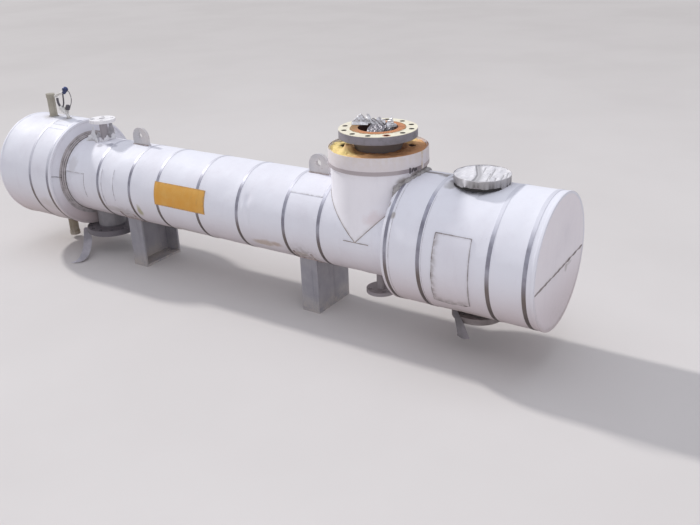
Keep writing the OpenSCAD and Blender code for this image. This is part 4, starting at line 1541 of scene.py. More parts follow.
    def foam(self) -> Solid:
        """The foam's top: a lumpy annulus from the nozzle to the collar, closed below.

        Its height is the collar's rim less a slope and lumps, less a bell for each hollow. A
        point inside a hollow, and a ring at the foot of the nozzle, is marked for the dark
        colour: painted shade in the holes and where the foam meets the nozzle.
        """
        turn = np.linspace(0, TAU, 241)[:-1, None]
        r = np.linspace(self.hub_r, self.collar_r - 0.003, 44)
        flat = self.around(turn, r, self.foam_z)
        height = (
            Ripple(51, 0.055, 0.0024)(flat) + Ripple(52, 0.018, 0.0010)(flat)
            + Ripple(53, 0.16, 0.0020)(flat) - 0.0025
        )
        azimuth, radius, wide, deep = self.slot
        off = (turn - math.radians(azimuth) + math.pi) % TAU - math.pi
        lump = np.minimum(1, 1.5 * self.foam_bell(flat, *self.lump))
        hollow = (1 - lump) * most(
            near(off, 0, wide) * near(r, radius, deep),
            *(self.foam_bell(flat, *place) for place in self.hollows),
        )
        edge = ramp(r, self.collar_r - 0.018, self.collar_r - 0.003) * 0.003
        lift = height + 0.030 * lump + edge - 0.022 * hollow
        return Form.slab(
            self.around(turn, r, self.foam_z + lift),
            self.around(turn, np.minimum(r, 0.2345), 0.900), wrap_rows=True,
            # painted shade: the hollows and a ring round the nozzle's foot are marked dark
            marks={"lump": lump, "hollow": most(
                ramp(hollow, 0.10, 0.30), near(r, self.hub_r, 0.006) * 0.5)},
        )

    def seams(self) -> Solid:
        """Thin mastic lines along both arms of the V and along its flat foot.

        On an arm the distance from the riser's axis equals the height over the shell's axis.
        """
        top = math.asin(PLAN.reach / PLAN.shell_r)
        paths = []
        for start, end, way, count in (
            (0, math.pi, -1, 140), (0, top, 1, 70), (math.pi, math.pi - top, 1, 70),
        ):
            turn = np.linspace(start, end, count)
            rise = PLAN.shell_r * np.sin(turn)
            paths.append(spread(
                PLAN.riser_x + way * rise, PLAN.shell_r * np.cos(turn), PLAN.axis + rise))
        foot = np.linspace(0.782, 0.924, 40)
        paths += [spread(foot, side * PLAN.shell_r, PLAN.axis) for side in (1, -1)]
        wide = Ripple(61, 0.03, 0.16)
        return together(
            Form.carried(path, Form.circle(0.0017, 8), scale=1 + wide(path)) for path in paths
        )

    def smear(self) -> Solid:
        """Mastic where the riser meets the front box: a lumpy cord up, over and down again.

        It follows the box's face up the riser's side, then the line where both rounds meet.
        """
        corner, face = math.acos(PLAN.reach / PLAN.shell_r), PLAN.front_face - 0.001
        turn = np.linspace(-corner, corner, 120)
        over = self.around(turn, PLAN.shell_r + 0.002, self.foot(turn * 0.999))
        side = math.sqrt(PLAN.shell_r**2 - PLAN.reach**2)
        up = np.linspace(PLAN.reach, math.sqrt(PLAN.front_r**2 - side**2), 30)
        near_side = spread(face, -side - 0.002, PLAN.axis + up)
        left, right = (
            Form.round_shell(face, np.radians(np.linspace(start, end, 24)), PLAN.front_r)
            for start, end in ((128, 116.5), (63.5, 52))
        )
        lumps, fine = Ripple(71, 0.045, 0.22), Ripple(72, 0.014, 0.10)
        parts = []
        for path, radius in (
            (near_side, 0.0050), (near_side[::-1] * (1, -1, 1), 0.0050),
            (np.concatenate([left[:-1], over, right[1:]]), 0.0125),
        ):
            ends = np.minimum(np.linspace(0, 12, len(path)), np.linspace(12, 0, len(path)))
            size = np.clip(1 + lumps(path) + fine(path), 0.4, 1.7) * np.clip(ends + 0.2, 0, 1)
            parts.append(Form.carried(path, Form.circle(radius, 14), scale=size))
        return together(parts)

    def strap(self) -> None:
        """Make the strap round the collar's foot and the blocks of its dark buckle."""
        low, high = self.collar_r + 0.0002, self.collar_r + 0.0012
        foot, top = self.collar_foot, self.collar_foot + PLAN.band_w
        strip = Form.turned(
            [(low, foot), (high, foot + 0.0004), (high, top - 0.0004), (low, top)],
            (PLAN.riser_x, 0, 0), Axis.Z, 180)
        piece("riser_strap", strip,
              Strap("riser_strip", top=(0.46, 0.41, 0.42), bright=(0.45, 0.40, 0.41),
                    dull=(0.34, 0.29, 0.30)), ("riser_band",), crease=25)
        blocks = []
        for along, size, lean in self.buckle:
            turn = self.buckle_at + along / self.collar_r
            place = self.around(turn, high + 0.0008, (foot + top) / 2)
            blocks.append(Form.block(size, tuple(place), Matrix.Rotation(turn, 3, "Z")
                                     @ Matrix.Rotation(lean, 3, "X")))
        piece("riser_buckle", together(blocks),
              Plain("buckle_black", (0.10, 0.09, 0.095), (0.06, 0.055, 0.055), 0.5, 0.4, 80,
                    0.0004), crease=25)

    def build(self) -> None:
        """Make the riser's pieces."""
        white = WhiteSheet("riser_white", white=(0.87, 0.85, 0.89), stains=self.stains)
        collar = WhiteSheet("collar_white", white=(0.75, 0.70, 0.715), grime=(0.55, 0.42, 0.20))
        piece("riser_sheet", self.sheet(), white, ("riser_jacket",))
        piece("riser_collar_ring", self.collar(), collar, ("riser_collar",))
        piece("riser_foam_top", self.foam(), Foam("foam_orange"), ("riser_foam",),
              crease=80)
        piece("tee_seams", self.seams(),
              Sealant("mastic_brown", (0.36, 0.31, 0.28), (0.20, 0.15, 0.12)))
        piece("tee_mastic", self.smear(),
              Sealant("mastic_smear", (0.40, 0.38, 0.375), (0.25, 0.23, 0.225)),
              crease=70)
        self.strap()


# ---------------------------------------------------------------- end boxes


@dataclass
class Drum(SubAssembly):
    """An end box: sheet, ring towards the shell, end cap, lips and bands.

    Attributes:
        name: First word of its pieces' names.
        radius: Outer radius.
        face: Place of the ring.
        end: Place of the end cap.
        bands: Places of the bands.
        seals: Angles of the bands' seals.
        laps: The sheet edges that show on its round.
        seam: Points (y, z) of the end cap's lap.
        stains: Stains on its sheet.
        seed: Seed of its unevenness.
    """

    name: str
    radius: float
    face: float
    end: float
    bands: tuple[float, ...]
    seals: tuple[float, ...]
    laps: tuple[Lap, ...]
    seam: tuple[tuple[float, float], ...]
    stains: tuple[Stain, ...]
    seed: int

    @property
    def facing(self) -> int:
        """1 where the end cap looks along +X, or else -1."""
        return 1 if self.end > self.face else -1

    def jacket(self) -> Solid:
        """The round sheet: a drum whose radius dips between the bands by a slow ripple."""
        low, high = sorted((self.face, self.end))
        x, turn = stations(low, high, 0.014), all_round()
        flat = Form.round_shell(x, turn, self.radius)
        calm = np.prod([1 - near(x, place, 0.026) for place in self.bands + (low, high)], 0)
        slow = Ripple(self.seed, 0.36, 0.5)(flat) + Ripple(self.seed + 1, 0.09, 0.14)(flat)
        lift = -0.0019 * calm * np.clip(0.5 + slow, 0, 1.8)
        ends = near(x, low, 0.010) + near(x, high, 0.010)
        grime = most(ramp(flat[..., 2], 0.31, 0.20) * 0.35, ends * 0.45)
        return Form.sheet(Form.round_shell(x, turn, self.radius, lift), PLAN.sheet,
                          wrap_rows=True, marks={"grime": grime})

    def plate(self, place: float, inner: float, seed: int) -> Solid:
        """A flat end sheet from an inner radius to the rim, bulging in a slow ripple.

        Its place along the shell is the given one less a ripple that fades at both edges.

        Args:
            place: Where it stands along the shell.
            inner: Radius of its opening, or 0.
            seed: Seed of the ripple.

        Returns:
            The closed sheet.
        """
        outward = self.facing if place == self.end else -self.facing
        r = np.linspace(inner, self.radius - 0.0012, 26)
        flat = Form.round_shell(place, all_round(), r)
        calm = ramp(r, inner - 0.001, inner + 0.05) * ramp(r, self.radius, self.radius - 0.05)
        sink = 0.0022 + 0.0015 * calm * np.clip(Ripple(seed, 0.22, 0.7)(flat), -1, 1)
        flat[..., 0] -= outward * sink
        grime = near(r, self.radius, 0.014) * 0.5 + near(r, inner, 0.02) * (inner > 0) * 0.8
        return Form.slab(flat, flat - np.array((outward * PLAN.sheet, 0, 0)), wrap_rows=True,
                         marks={"grime": grime})

    def lip(self, place: float) -> Solid:
        """A rolled lip round an end: a small round section carried about the axis."""
        inward = -1 if place == max(self.face, self.end) else 1
        rim = self.radius
        section = [(rim - 0.010, 0.0004), (rim - 0.001, 0.0), (rim + 0.0012, 0.0010),
                   (rim + 0.0018, 0.0030), (rim + 0.0015, 0.0140), (rim + 0.0002, 0.0150),
                   (rim - 0.003, 0.0145), (rim - 0.010, 0.0030)]
        return Form.turned(
            [(r, inward * h) for r, h in section], (place, 0, PLAN.axis), Axis.X, 180,
            Ripple(self.seed + 7, 0.10, 0.0004),
        )

    def cap_lap(self) -> Solid:
        """The upper half of the end cap, lapped over the lower one along the seam.

        Its lower edge follows the seam's points and its upper edge the rim.
        """
        y0, z0 = np.array(self.seam).T
        y = np.linspace(y0[0], y0[-1], 60)[:, None]
        low = np.interp(y, y0, z0)
        rim = PLAN.axis + np.sqrt(np.maximum((self.radius - 0.006) ** 2 - y**2, 0))
        share = np.linspace(0, 1, 24)
        x = self.end - self.facing * (0.0013 - 0.0009 * ramp(1 - share, 0.75, 1.0))
        grid = spread(x, y, low + share * (rim - low))
        return Form.slab(grid, grid - np.array((self.facing * 0.0011, 0, 0)),
                         marks={"grime": near(share, 0.0, 0.018) * 0.8})

    def cap_mastic(self) -> Solid:
        """The dirty mastic smeared along the cap's lap: a flat cord on the seam's points."""
        y0, z0 = np.array(self.seam).T
        y = np.linspace(y0[0] + 0.008, y0[-1] - 0.012, 120)
        path = spread(self.end - self.facing * 0.0016, y, np.interp(y, y0, z0) - 0.0012)
        size = np.clip(1 + Ripple(self.seed + 9, 0.07, 0.25)(path)
                       + Ripple(self.seed + 10, 0.02, 0.12)(path), 0.45, 1.6)
        return Form.carried(path, Form.circle(0.0062, 10) * (0.34, 1.0), scale=size)

    def build(self) -> None:
        """Make the box's pieces; the cap that the camera sees has a coat for its shade."""
        white = WhiteSheet(self.name + "_white", stains=self.stains)
        # painted bounce light and shade: the cap that faces the camera gets a pinker white and
        # its own tone below
        shaded = WhiteSheet("shaded_cap_white", white=(0.86, 0.815, 0.85),
                            below=(0.66, 0.57, 0.59), stains=self.stains)
        jacket = together([self.jacket(), *(lap.solid(self.radius) for lap in self.laps)])
        piece(self.name + "_sheet", jacket, white,
              (self.name + "_jacket", self.name + "_foam"))
        piece(self.name + "_face", self.plate(self.face, PLAN.shell_r - 0.001, self.seed + 3),
              white, (self.name + "_ring",))
        piece(self.name + "_cap", self.plate(self.end, 0.0, self.seed + 4) + self.cap_lap(),
              shaded if self.facing > 0 else white, (self.name + "_end",))
        piece(self.name + "_cap_mastic", self.cap_mastic(),
              Sealant("mastic_seam", (0.34, 0.295, 0.29), (0.17, 0.14, 0.135)),
              crease=60)
        piece(self.name + "_lips", self.lip(self.face) + self.lip(self.end), white)
        Bands(self.name + "_straps", self.name + "_bands", self.bands, self.radius,
              self.seals).build()


@dataclass
class BoxPatch(SubAssembly):
    """The patch riveted on the front box, with mastic squeezed out round it.

    Attributes:
        x: Its ends along the shell.
        angle: Its ends round the box in degrees.
        thickness: Its thickness.
    """

    x: tuple[float, float] = (1.3065, 1.4765)
    angle: tuple[float, float] = (151.5, 214.0)
    thickness: float = 0.0016

    def border(self, x: Array, angle: Array) -> tuple[Array, Array]:
        """Bend the plate's outline: its left side bows in and its lower side sags.

        Args:
            x: Places along the shell, on the straight outline.
            angle: Their angles in degrees.

        Returns:
            Both, bent.
        """
        a, b = self.angle
        down = (angle - a) / (b - a)
        left = (self.x[1] - x) / (self.x[1] - self.x[0])
        right = 0.0035 * (1 - down) + 0.006 * np.sin(down * math.pi) - 0.004 * down
        bow = right * (1 - left) - 0.013 * down**2 * left
        sag = 2.2 * down * np.sin((1 - left) * math.pi) + 1.2 * down * left
        return x + bow, angle + sag

    def build(self) -> None:
        """Make the plate and the mastic bead along its border."""
        rows, columns = np.linspace(0, 1, 60)[:, None], np.linspace(0, 1, 30)
        x, turn = self.border(np.linspace(*self.x, 30), np.linspace(*self.angle, 60)[:, None])
        turn = np.radians(turn)
        flat = Form.round_shell(x, turn, PLAN.front_r)
        lift = self.thickness * (0.85 + 0.35 * Ripple(81, 0.09, 0.5)(flat))
        border = most(near(columns, 0, 0.10), near(columns, 1, 0.03) * 0.5,
                      near(rows, 0, 0.02) * 0.5, near(rows, 1, 0.08))
        plate = Form.slab(
            Form.round_shell(x, turn, PLAN.front_r, lift),
            Form.round_shell(x, turn, PLAN.front_r, -0.003), marks={"grime": border})
        piece("front_patch", plate,
              WhiteSheet("patch_white", white=(0.79, 0.78, 0.835), grime=(0.30, 0.26, 0.25)),
              ("box_patch",))

        along, down = np.linspace(*self.x, 60), np.linspace(*self.angle, 60)
        low_x, high_x, low_angle, high_angle = *self.x, *self.angle
        x, turn = np.concatenate([
            np.stack(np.broadcast_arrays(*self.border(*side)))[:, :-1] for side in (
                (along, low_angle), (high_x, down), (along[::-1], high_angle),
                (low_x, down[::-1]))
        ], 1)
        path = Form.round_shell(x, np.radians(turn), PLAN.front_r)
        lumps = np.clip(0.75 + Ripple(83, 0.08, 0.40)(path) + Ripple(84, 0.015, 0.18)(path),
                        0.30, 2.0)
        raised = Form.round_shell(x, np.radians(turn), PLAN.front_r, 0.0008)
        piece("front_patch_mastic", Form.carried(raised, Form.circle(0.0026, 8), True, lumps),
              Sealant("mastic_pale", (0.42, 0.385, 0.38), (0.18, 0.155, 0.15)),
              crease=70)


# ---------------------------------------------------------------- nozzles and foil


@dataclass(frozen=True)
class Flap:
    """A torn piece of sheet between two lines of points, crumpled.

    Attributes:
        low: The lower line's corners.
        high: The upper line's corners.
        fold: How far its folds go out of plane.
        length: The folds' length.
        shade: How dark the whole flap is painted, as shade.
    """

    low: tuple[Point, ...]
    high: tuple[Point, ...]
    fold: float = 0.003
    length: float = 0.028
    shade: float = 0.0

    def solid(self, seed: int, thickness: float = 0.0008) -> Solid:
        """The flap: a ruled grid, moved along its normals by a sharp ripple.

        The ripple fades towards the lower line, and a second, finer one frays the outline.
        """
        grid = Form.ruled(self.low, self.high, 44, 26)
        up = np.linspace(0, 1, 26)[:, None]
        folds = Ripple(seed, self.length, self.fold, waves=4, creased=True)(grid)
        fray = Ripple(seed + 50, 0.012, self.fold * 0.12)(grid)
        out = folds * ramp(up, 0.0, 0.25) + fray
        grid = grid + out[..., None] * Form.normals(grid)
        # darker towards the lower line, plus the flap's painted shade
        grime = self.shade + (0.30 - 0.2 * self.shade) * (1 - up)
        return Form.sheet(grid, thickness, marks={"grime": grime})


@dataclass
class TornFoil(SubAssembly):
    """Foil torn round the top nozzle's bore and crumpled inside it.

    Attributes:
        flaps: The torn flaps: a large one that leans over the flange on the left with its
            folded foot, a narrow one, a crumpled band, and a pointed and a low one on the
            right.
        curtain: The flap that hangs into the bore, dulled with painted shade.
    """

    flaps: tuple[Flap, ...] = (
        Flap(((0.704, -0.004, 1.0200), (0.742, 0.012, 1.0190), (0.7816, 0.028, 1.0200)),
             ((0.7300, 0.030, 1.0560), (0.7350, 0.030, 1.0590), (0.7410, 0.030, 1.0560)),
             0.0035, 0.040),
        Flap(((0.7140, -0.022, 1.0108), (0.752, -0.010, 1.0106), (0.7900, 0.006, 1.0108)),
             ((0.7040, -0.005, 1.0205), (0.742, 0.011, 1.0200), (0.7816, 0.027, 1.0200)),
             0.0010, 0.030),
        Flap(((0.7640, 0.032, 1.0120), (0.7980, 0.036, 1.0120)),
             ((0.7480, 0.056, 1.0430), (0.7560, 0.056, 1.0530), (0.7660, 0.056, 1.0520),
              (0.7750, 0.056, 1.0390)), 0.0014, 0.050),
        Flap(((0.7850, 0.030, 0.9980), (0.8300, 0.034, 0.9940), (0.8800, 0.036, 0.9980)),
             ((0.7950, 0.030, 1.0370), (0.8050, 0.030, 1.0440), (0.8200, 0.032, 1.0390),
              (0.8390, 0.030, 1.0520), (0.8560, 0.030, 1.0400), (0.8720, 0.030, 1.0440)),
             0.0070, 0.052),
        Flap(((0.8680, 0.045, 1.0100), (0.9250, 0.037, 1.0100)),
             ((0.8840, 0.055, 1.0430), (0.8930, 0.057, 1.0580), (0.8975, 0.056, 1.0440)),
             0.0022),
        Flap(((0.8820, 0.018, 1.0060), (0.9050, 0.030, 1.0060), (0.9280, 0.044, 1.0100)),
             ((0.8760, 0.042, 1.0320), (0.8990, 0.052, 1.0280), (0.9180, 0.060, 1.0160)),
             0.0045, 0.034),
    )
    curtain: Flap = Flap(
        ((0.8040, -0.050, 0.9760), (0.8450, -0.060, 0.9800), (0.8880, -0.044, 0.9840)),
        ((0.7880, 0.026, 1.0080), (0.8350, 0.026, 1.0160), (0.8860, 0.026, 1.0120)),
        0.0060, 0.040, 0.25)

    def plug(self) -> Solid:
        """The crumpled foil in the bore: a disc whose height folds sharply.

        It rises towards the back and falls away on the left, where the rusty bore shows. It is
        marked darker, more so lower down: painted shade inside the bore.
        """
        turn, r = all_round(3.0), np.linspace(0.002, 0.088, 44)
        x, y = r * np.cos(turn), r * np.sin(turn)
        flat = spread(PLAN.riser_x + x, y, 0.99)
        folds = Ripple(121, 0.052, 0.0085, waves=5, creased=True)(flat * (1.5, 0.5, 1.0))
        fall = ramp(0.25 * y - x, 0.020, 0.060) * 0.065 + ramp(r, 0.066, 0.088) * 0.014
        height = np.minimum(0.986 + folds + 0.20 * y - fall, 1.012)
        grid = spread(PLAN.riser_x + x, y, height)
        return Form.slab(grid, grid - np.array((0, 0, 0.0012)), wrap_rows=True,
                         marks={"grime": 0.62 + ramp(0.995 - height, 0.0, 0.05) * 0.3})

    def build(self) -> None:
        """Make the flaps and the plug."""
        foil = Foil("foil_torn", (0.78, 0.77, 0.79), (0.50, 0.49, 0.50))
        leaves = together(flap.solid(100 + k) for k, flap in enumerate(self.flaps))
        piece("torn_foil_leaves", leaves, foil, ("torn_foil",), crease=24)
        # painted shade: a darker copy of the foil for the plug and the curtain inside the bore
        dull = Foil("foil_bore_shade", (0.42, 0.40, 0.43), (0.25, 0.235, 0.25))
        piece("torn_foil_plug", self.plug() + self.curtain.solid(106), dull, crease=24)


@dataclass
class FoilCap(SubAssembly):
    """Foil pressed over the channel's top flange, with a ragged skirt.

    Attributes:
        radius: Outer radius of the flange under the foil.
        top: Height of the foil's top.
        skirt: Height of the skirt's hem.
        gap: Height of the foot of the black ring painted as the shadow under the hem.
        face: Height of the flange, which the foil can't go under.
        post_r: Radius of the mastic ring where the nozzle leaves the box.
        split_at: Azimuth in degrees at which the skirt stands off.
        crease: Points of the crease across the top, on plan, from the front to the back.
        pleats: The pleats beside it: how far each is along the shell, its lowest and
            highest y.
    """

    radius: float = 0.1295
    top: float = 0.8575
    skirt: float = 0.8185
    gap: float = 0.8075
    face: float = 0.8503
    post_r: float = 0.0600
    split_at: float = -101.0
    crease: tuple[tuple[float, float], ...] = (
        (1.3980, -0.1300), (1.3960, -0.0900), (1.3790, -0.0240), (1.3360, 0.0600),
        (1.3150, 0.1000))
    pleats: tuple[Point, ...] = (
        (0.045, -0.08, 0.10), (0.096, -0.09, 0.04), (0.037, -0.10, 0.03),
        (0.112, -0.07, 0.07), (0.000, 0.01, 0.10), (0.070, -0.11, -0.02))

    def cap(self) -> Solid:
        """The cap: a profile carried round from the middle over the rim and down.

        The top is pressed into a few large faces. A sharp crease crosses it: the height rises
        slowly towards the crease on its left and drops beyond it. Straight pleats lie beside it,
        and the skirt's hem goes up and down with the azimuth. The skirt, the crease, the facet
        beyond it and the pleats are marked darker as painted shade; the split in the skirt is
        left light and flares out.
        """
        turn, s = all_round(1.5), np.linspace(0, 1, 72)
        over, down = ramp(s, 0.62, 0.70), ramp(s, 0.66, 1.0) ** 0.9
        r = self.radius * np.minimum(s / 0.65, 1.0)
        around = upright(0.0, turn, self.radius, 0.0)
        hem = (self.top - self.skirt) * (1 + 0.13 * Ripple(131, 0.06, 1.0)(around))
        flat = upright(PLAN.channel_x, turn, r, self.top - down * hem)
        x, y, _ = np.moveaxis(flat, -1, 0)
        along, side = np.array(self.crease).T[::-1]
        off = 0.9 * (x - np.interp(y, along, side))
        ridge = 0.0020 * ramp(off, -0.050, 0.0) * (off < 0) - 0.0050 * (
            ramp(off, 0.0, 0.006) - ramp(off, 0.016, 0.050))
        faces = Ripple(132, 0.085, 0.0035, creased=True)(flat)
        fold = Ripple(133, 0.030, 0.0010, creased=True)(flat)
        across = 0.97 * (x - PLAN.channel_x) + 0.25 * y
        pleats = 0.0016 * most(*(
            near(across, place, 0.0030) * ramp(y, low, low + 0.02) * ramp(y, high, high - 0.02)
            for place, low, high in self.pleats))
        flutes = 0.0016 * down * np.abs(
            Ripple(134, 0.060, 0.7)(around) + Ripple(135, 0.022, 0.5)(around))
        aside = (turn - math.radians(self.split_at) + math.pi) % TAU - math.pi
        # the split in the skirt: left out of the painted shade and flared out
        shade = near(aside, 0, 0.13 - 0.11 * down)
        low = np.maximum(faces + 0.0035, 0) + np.maximum(fold + 0.0010, 0) + pleats
        z = flat[..., 2] - (1 - over) * low + (1 - ramp(s, 0.60, 0.68)) * ridge
        z = np.where(over < 0.5, np.maximum(z, self.face), z)
        r = r + over * (np.minimum(fold, 0.0006) - flutes + 0.009 * shade * down)
        # painted shade: the skirt with its flutes, the crease, the facet beyond it and the pleats
        # are marked darker
        grime = most(
            0.92 * over * (1 - 0.98 * shade) * (0.72 + 260 * flutes),
            0.62 * near(off, 0.004, 0.006) * (1 - 0.6 * over),
            0.46 * near(off, 0.016, 0.012) * (1 - over),
            400 * pleats * (1 - over),
        )
        return Form.sheet(upright(PLAN.channel_x, turn, r, z), -0.0005, wrap_rows=True,
                          marks={"grime": grime})

    def build(self) -> None:
        """Make the cap, the black ring painted as the shadow under its hem, and the mastic round
        the nozzle.
        """
        piece("foil_cap_sheet", self.cap(),
              Foil("foil_cap", (0.95, 0.93, 0.95), (0.80, 0.78, 0.80)), ("foil_cap",),
              crease=26)
        # painted shadow: a black ring under the hem, where the flange lies in shade
        inside = self.radius - 0.0012
        gap = Form.turned(Form.bar(inside - 0.004, inside, self.gap, self.skirt + 0.0020),
                          (PLAN.channel_x, 0, 0), Axis.Z, 120)
        piece("foil_cap_painted_shadow", gap,
              Plain("painted_shadow_black", (0.045, 0.04, 0.04), (0.03, 0.027, 0.027), 0.9, 0.0, 60,
                    0.0005), crease=40)
        path = round_post(PLAN.channel_x, self.post_r, PLAN.front_r, 1, 120)
        lumps = 1 + Ripple(141, 0.03, 0.30)(path)
        piece("channel_mastic", Form.carried(path, Form.circle(0.0075, 10), True, lumps),
              Sealant("mastic_black", (0.10, 0.09, 0.09), (0.05, 0.045, 0.04)),
              crease=70)


@dataclass
class VentTop(SubAssembly):
    """The vent nozzle's torn sheet boot and the crumpled scrap beside it.

    Attributes:
        foot_r: Radius of the boot on the shell.
        neck_r: Radius of the boot under the flange.
        head: Height of the boot's upper edge.
        gap: Azimuths between which the boot has torn open, in degrees.
        thickness: Thickness of its sheet.
    """

    foot_r: float = 0.0620
    neck_r: float = 0.0500
    head: float = 0.8370
    gap: tuple[float, float] = (-112.0, -70.0)
    thickness: float = 0.0009

    def boot(self) -> Solid:
        """The boot: a cone from the shell up to the flange, torn down except at its back.

        Its foot follows the shell's round. The share of its height that is left is a bell
        about its back, and its torn edge flares out with a ripple.
        """
        turn = np.radians(np.linspace(self.gap[1], self.gap[0] + 360, 110))[:, None]
        up = np.linspace(0, 1, 26)
        left = np.clip(0.20 + 0.8 * near(turn, math.radians(80), 0.75)
                       + 0.10 * np.sin(turn * 9) + 0.05 * np.sin(turn * 23), 0.10, 1.0)
        radius = self.foot_r + (self.neck_r - self.foot_r) * up * left
        foot = PLAN.axis + np.sqrt(PLAN.shell_r**2 - (self.foot_r * np.sin(turn)) ** 2)
        z = foot + up * left * (self.head - foot)
        flat = upright(PLAN.vent_x, turn, radius, z)
        torn = (1 - left) * up * (0.010 + 0.008 * Ripple(152, 0.05, 1.0)(flat))
        crush = Ripple(151, 0.035, 0.0016, waves=5, creased=True)(flat) * ramp(up, 0.05, 0.3)
        radius = np.minimum(radius + torn + crush, self.foot_r + 0.016)
        return Form.sheet(upright(PLAN.vent_x, turn, radius, z), self.thickness,
                          marks={"grime": near(up, 0.0, 0.10) * 0.5})

    def scrap(self) -> Solid:
        """The scrap: a crumpled strip that stands on the shell's top behind the mastic.

        Its height is a low edge and two bells along the shell. It is marked darker at its foot:
        painted shade of the gap under it.
        """
        x, up = np.linspace(-1.222, -1.120, 40)[:, None], np.linspace(0, 1, 18)
        tall = 0.016 + 0.070 * near(x, -1.168, 0.024) + 0.014 * near(x, -1.206, 0.010)
        y = -0.064 + 0.008 * np.sin((x + 1.2) * 60) + 0.012 * up
        base = PLAN.axis + np.sqrt(PLAN.shell_r**2 - y**2) - 0.004
        flat = spread(x, y, base + tall * up)
        fold = Ripple(161, 0.036, 0.0045, waves=4, creased=True)(flat)
        flat[..., 1] += fold * ramp(up, 0.0, 0.5)
        # painted shade at the scrap's foot
        return Form.sheet(flat, self.thickness, marks={"grime": near(up, 0, 0.30) * 0.8})

    def build(self) -> None:
        """Make the boot and the scrap."""
        white = WhiteSheet("boot_white", white=(0.78, 0.78, 0.79))
        piece("vent_boot_sheet", self.boot(), white, ("vent_boot",), crease=30)
        piece("vent_scrap", self.scrap(), white, crease=28)


@dataclass
class Valve(SubAssembly):
    """The small ball valve on the rear box: nipple, hexes, body, lever and grip.

    Attributes:
        x: Its place along the shell.
        foot: Height of the sheet under it.
    """

    x: float = PLAN.valve_x
    foot: float = 0.826

    def hexagon(self, across: float, low: float, high: float) -> Solid:
        """A hexagonal nut whose corners are turned off at both ends."""
        turn = all_round(7.5)
        flats = across / 2 / np.cos((turn % (TAU / 6)) - TAU / 12)
        cut = np.array([0.0, 0.90, 1.0, 1.0, 0.90, 0.0])
        h = np.array([low, low, low + 0.003, high - 0.003, high, high])
        grid = upright(self.x, turn, np.minimum(flats, across / 2 * 1.12) * cut, h)
        return Solid(grid.reshape(-1, 3), Form.cells(len(turn), 6, True, True).tolist())

    def body(self) -> Solid:
        """The leaning nipple, a hex, and the housing and end nuts turned about its branch.

        Each part is made upright at the foot, then turned about the foot or the branch.
        """
        x, f = self.x, self.foot
        nipple = Form.turned([(0, f - 0.012), (0.0095, f - 0.012), (0.0095, f + 0.050),
                              (0, f + 0.050)], (x, 0, 0), segments=40)
        upright = nipple + self.hexagon(0.028, f + 0.034, f + 0.050)
        lean = Matrix.Rotation(math.radians(-24), 3, "Y")
        upright = upright.turned_by(lean, (x, 0, f))
        branch = Form.turned(
            [(0, f), (0.012, f), (0.0185, f + 0.008), (0.0200, f + 0.018), (0.0185, f + 0.028),
             (0.012, f + 0.036), (0, f + 0.036)], (x, 0, 0), segments=48)
        branch = branch + self.hexagon(0.030, f - 0.012, f + 0.002) + self.hexagon(
            0.030, f + 0.034, f + 0.052)
        across = Matrix.Rotation(math.radians(-66), 3, "Y")
        return upright + branch.turned_by(across, (x, 0, f)).moved_by((-0.020, 0.0, 0.044))

    def build(self) -> None:
        """Make the valve's pieces: body, lever with its knob, stems and the hanging wire."""
        steel = Plain("valve_bright", (0.80, 0.79, 0.76), (0.55, 0.52, 0.48), 0.30, 0.3, 200,
                      0.0002)
        dark = Plain("valve_dark", (0.13, 0.12, 0.14), (0.07, 0.065, 0.07), 0.5, 0.2, 200,
                     0.0003)
        piece("valve_body", self.body(), steel, ("vent_valve",), crease=24)
        lever = Form.carried(curve([
            (-1.533, -0.004, 0.953), (-1.500, -0.005, 0.968), (-1.466, -0.004, 0.980),
            (-1.434, -0.004, 0.992)], 40), Form.strip(0.020, 0.013))
        piece("valve_lever", lever, steel, crease=24)
        stems = together(
            Form.carried(curve(path, 24), Form.circle(radius, 12)) for radius, path in (
                (0.0045, [(-1.4850, -0.003, 0.890), (-1.4640, -0.004, 0.924),
                          (-1.4570, -0.004, 0.984)]),
                (0.0075, [(-1.4980, -0.002, 0.884), (-1.5180, -0.003, 0.918),
                          (-1.5210, -0.003, 0.950)]),
                (0.0150, [(-1.4370, -0.004, 0.889), (-1.4300, -0.004, 0.899),
                          (-1.4240, -0.004, 0.908)]),
                (0.0022, [(-1.4180, -0.004, 1.012), (-1.3900, -0.006, 0.996),
                          (-1.3800, -0.006, 0.958), (-1.3970, -0.005, 0.917),
                          (-1.4240, -0.004, 0.903)]),
            )
        )
        piece("valve_stems", stems, dark, crease=40)
        turn = np.linspace(-math.pi / 2, math.pi / 2, 17)
        knob = Form.turned(
            [(0.0185 * math.cos(a) * (abs(math.cos(a)) > 1e-6), 0.0175 * math.sin(a))
             for a in turn.tolist()], (-1.4270, -0.004, 1.0110), segments=40)
        grip = Form.carried(curve([
            (-1.4450, -0.004, 0.9900), (-1.4350, -0.004, 0.9980), (-1.4280, -0.004, 1.0080),
        ], 16), Form.circle(0.012, 16))
        piece("valve_grip", knob + grip, Plain("grip_blue", (0.045, 0.07, 0.21),
              (0.02, 0.03, 0.09), 0.38, 0.0, 160, 0.0003), crease=40)


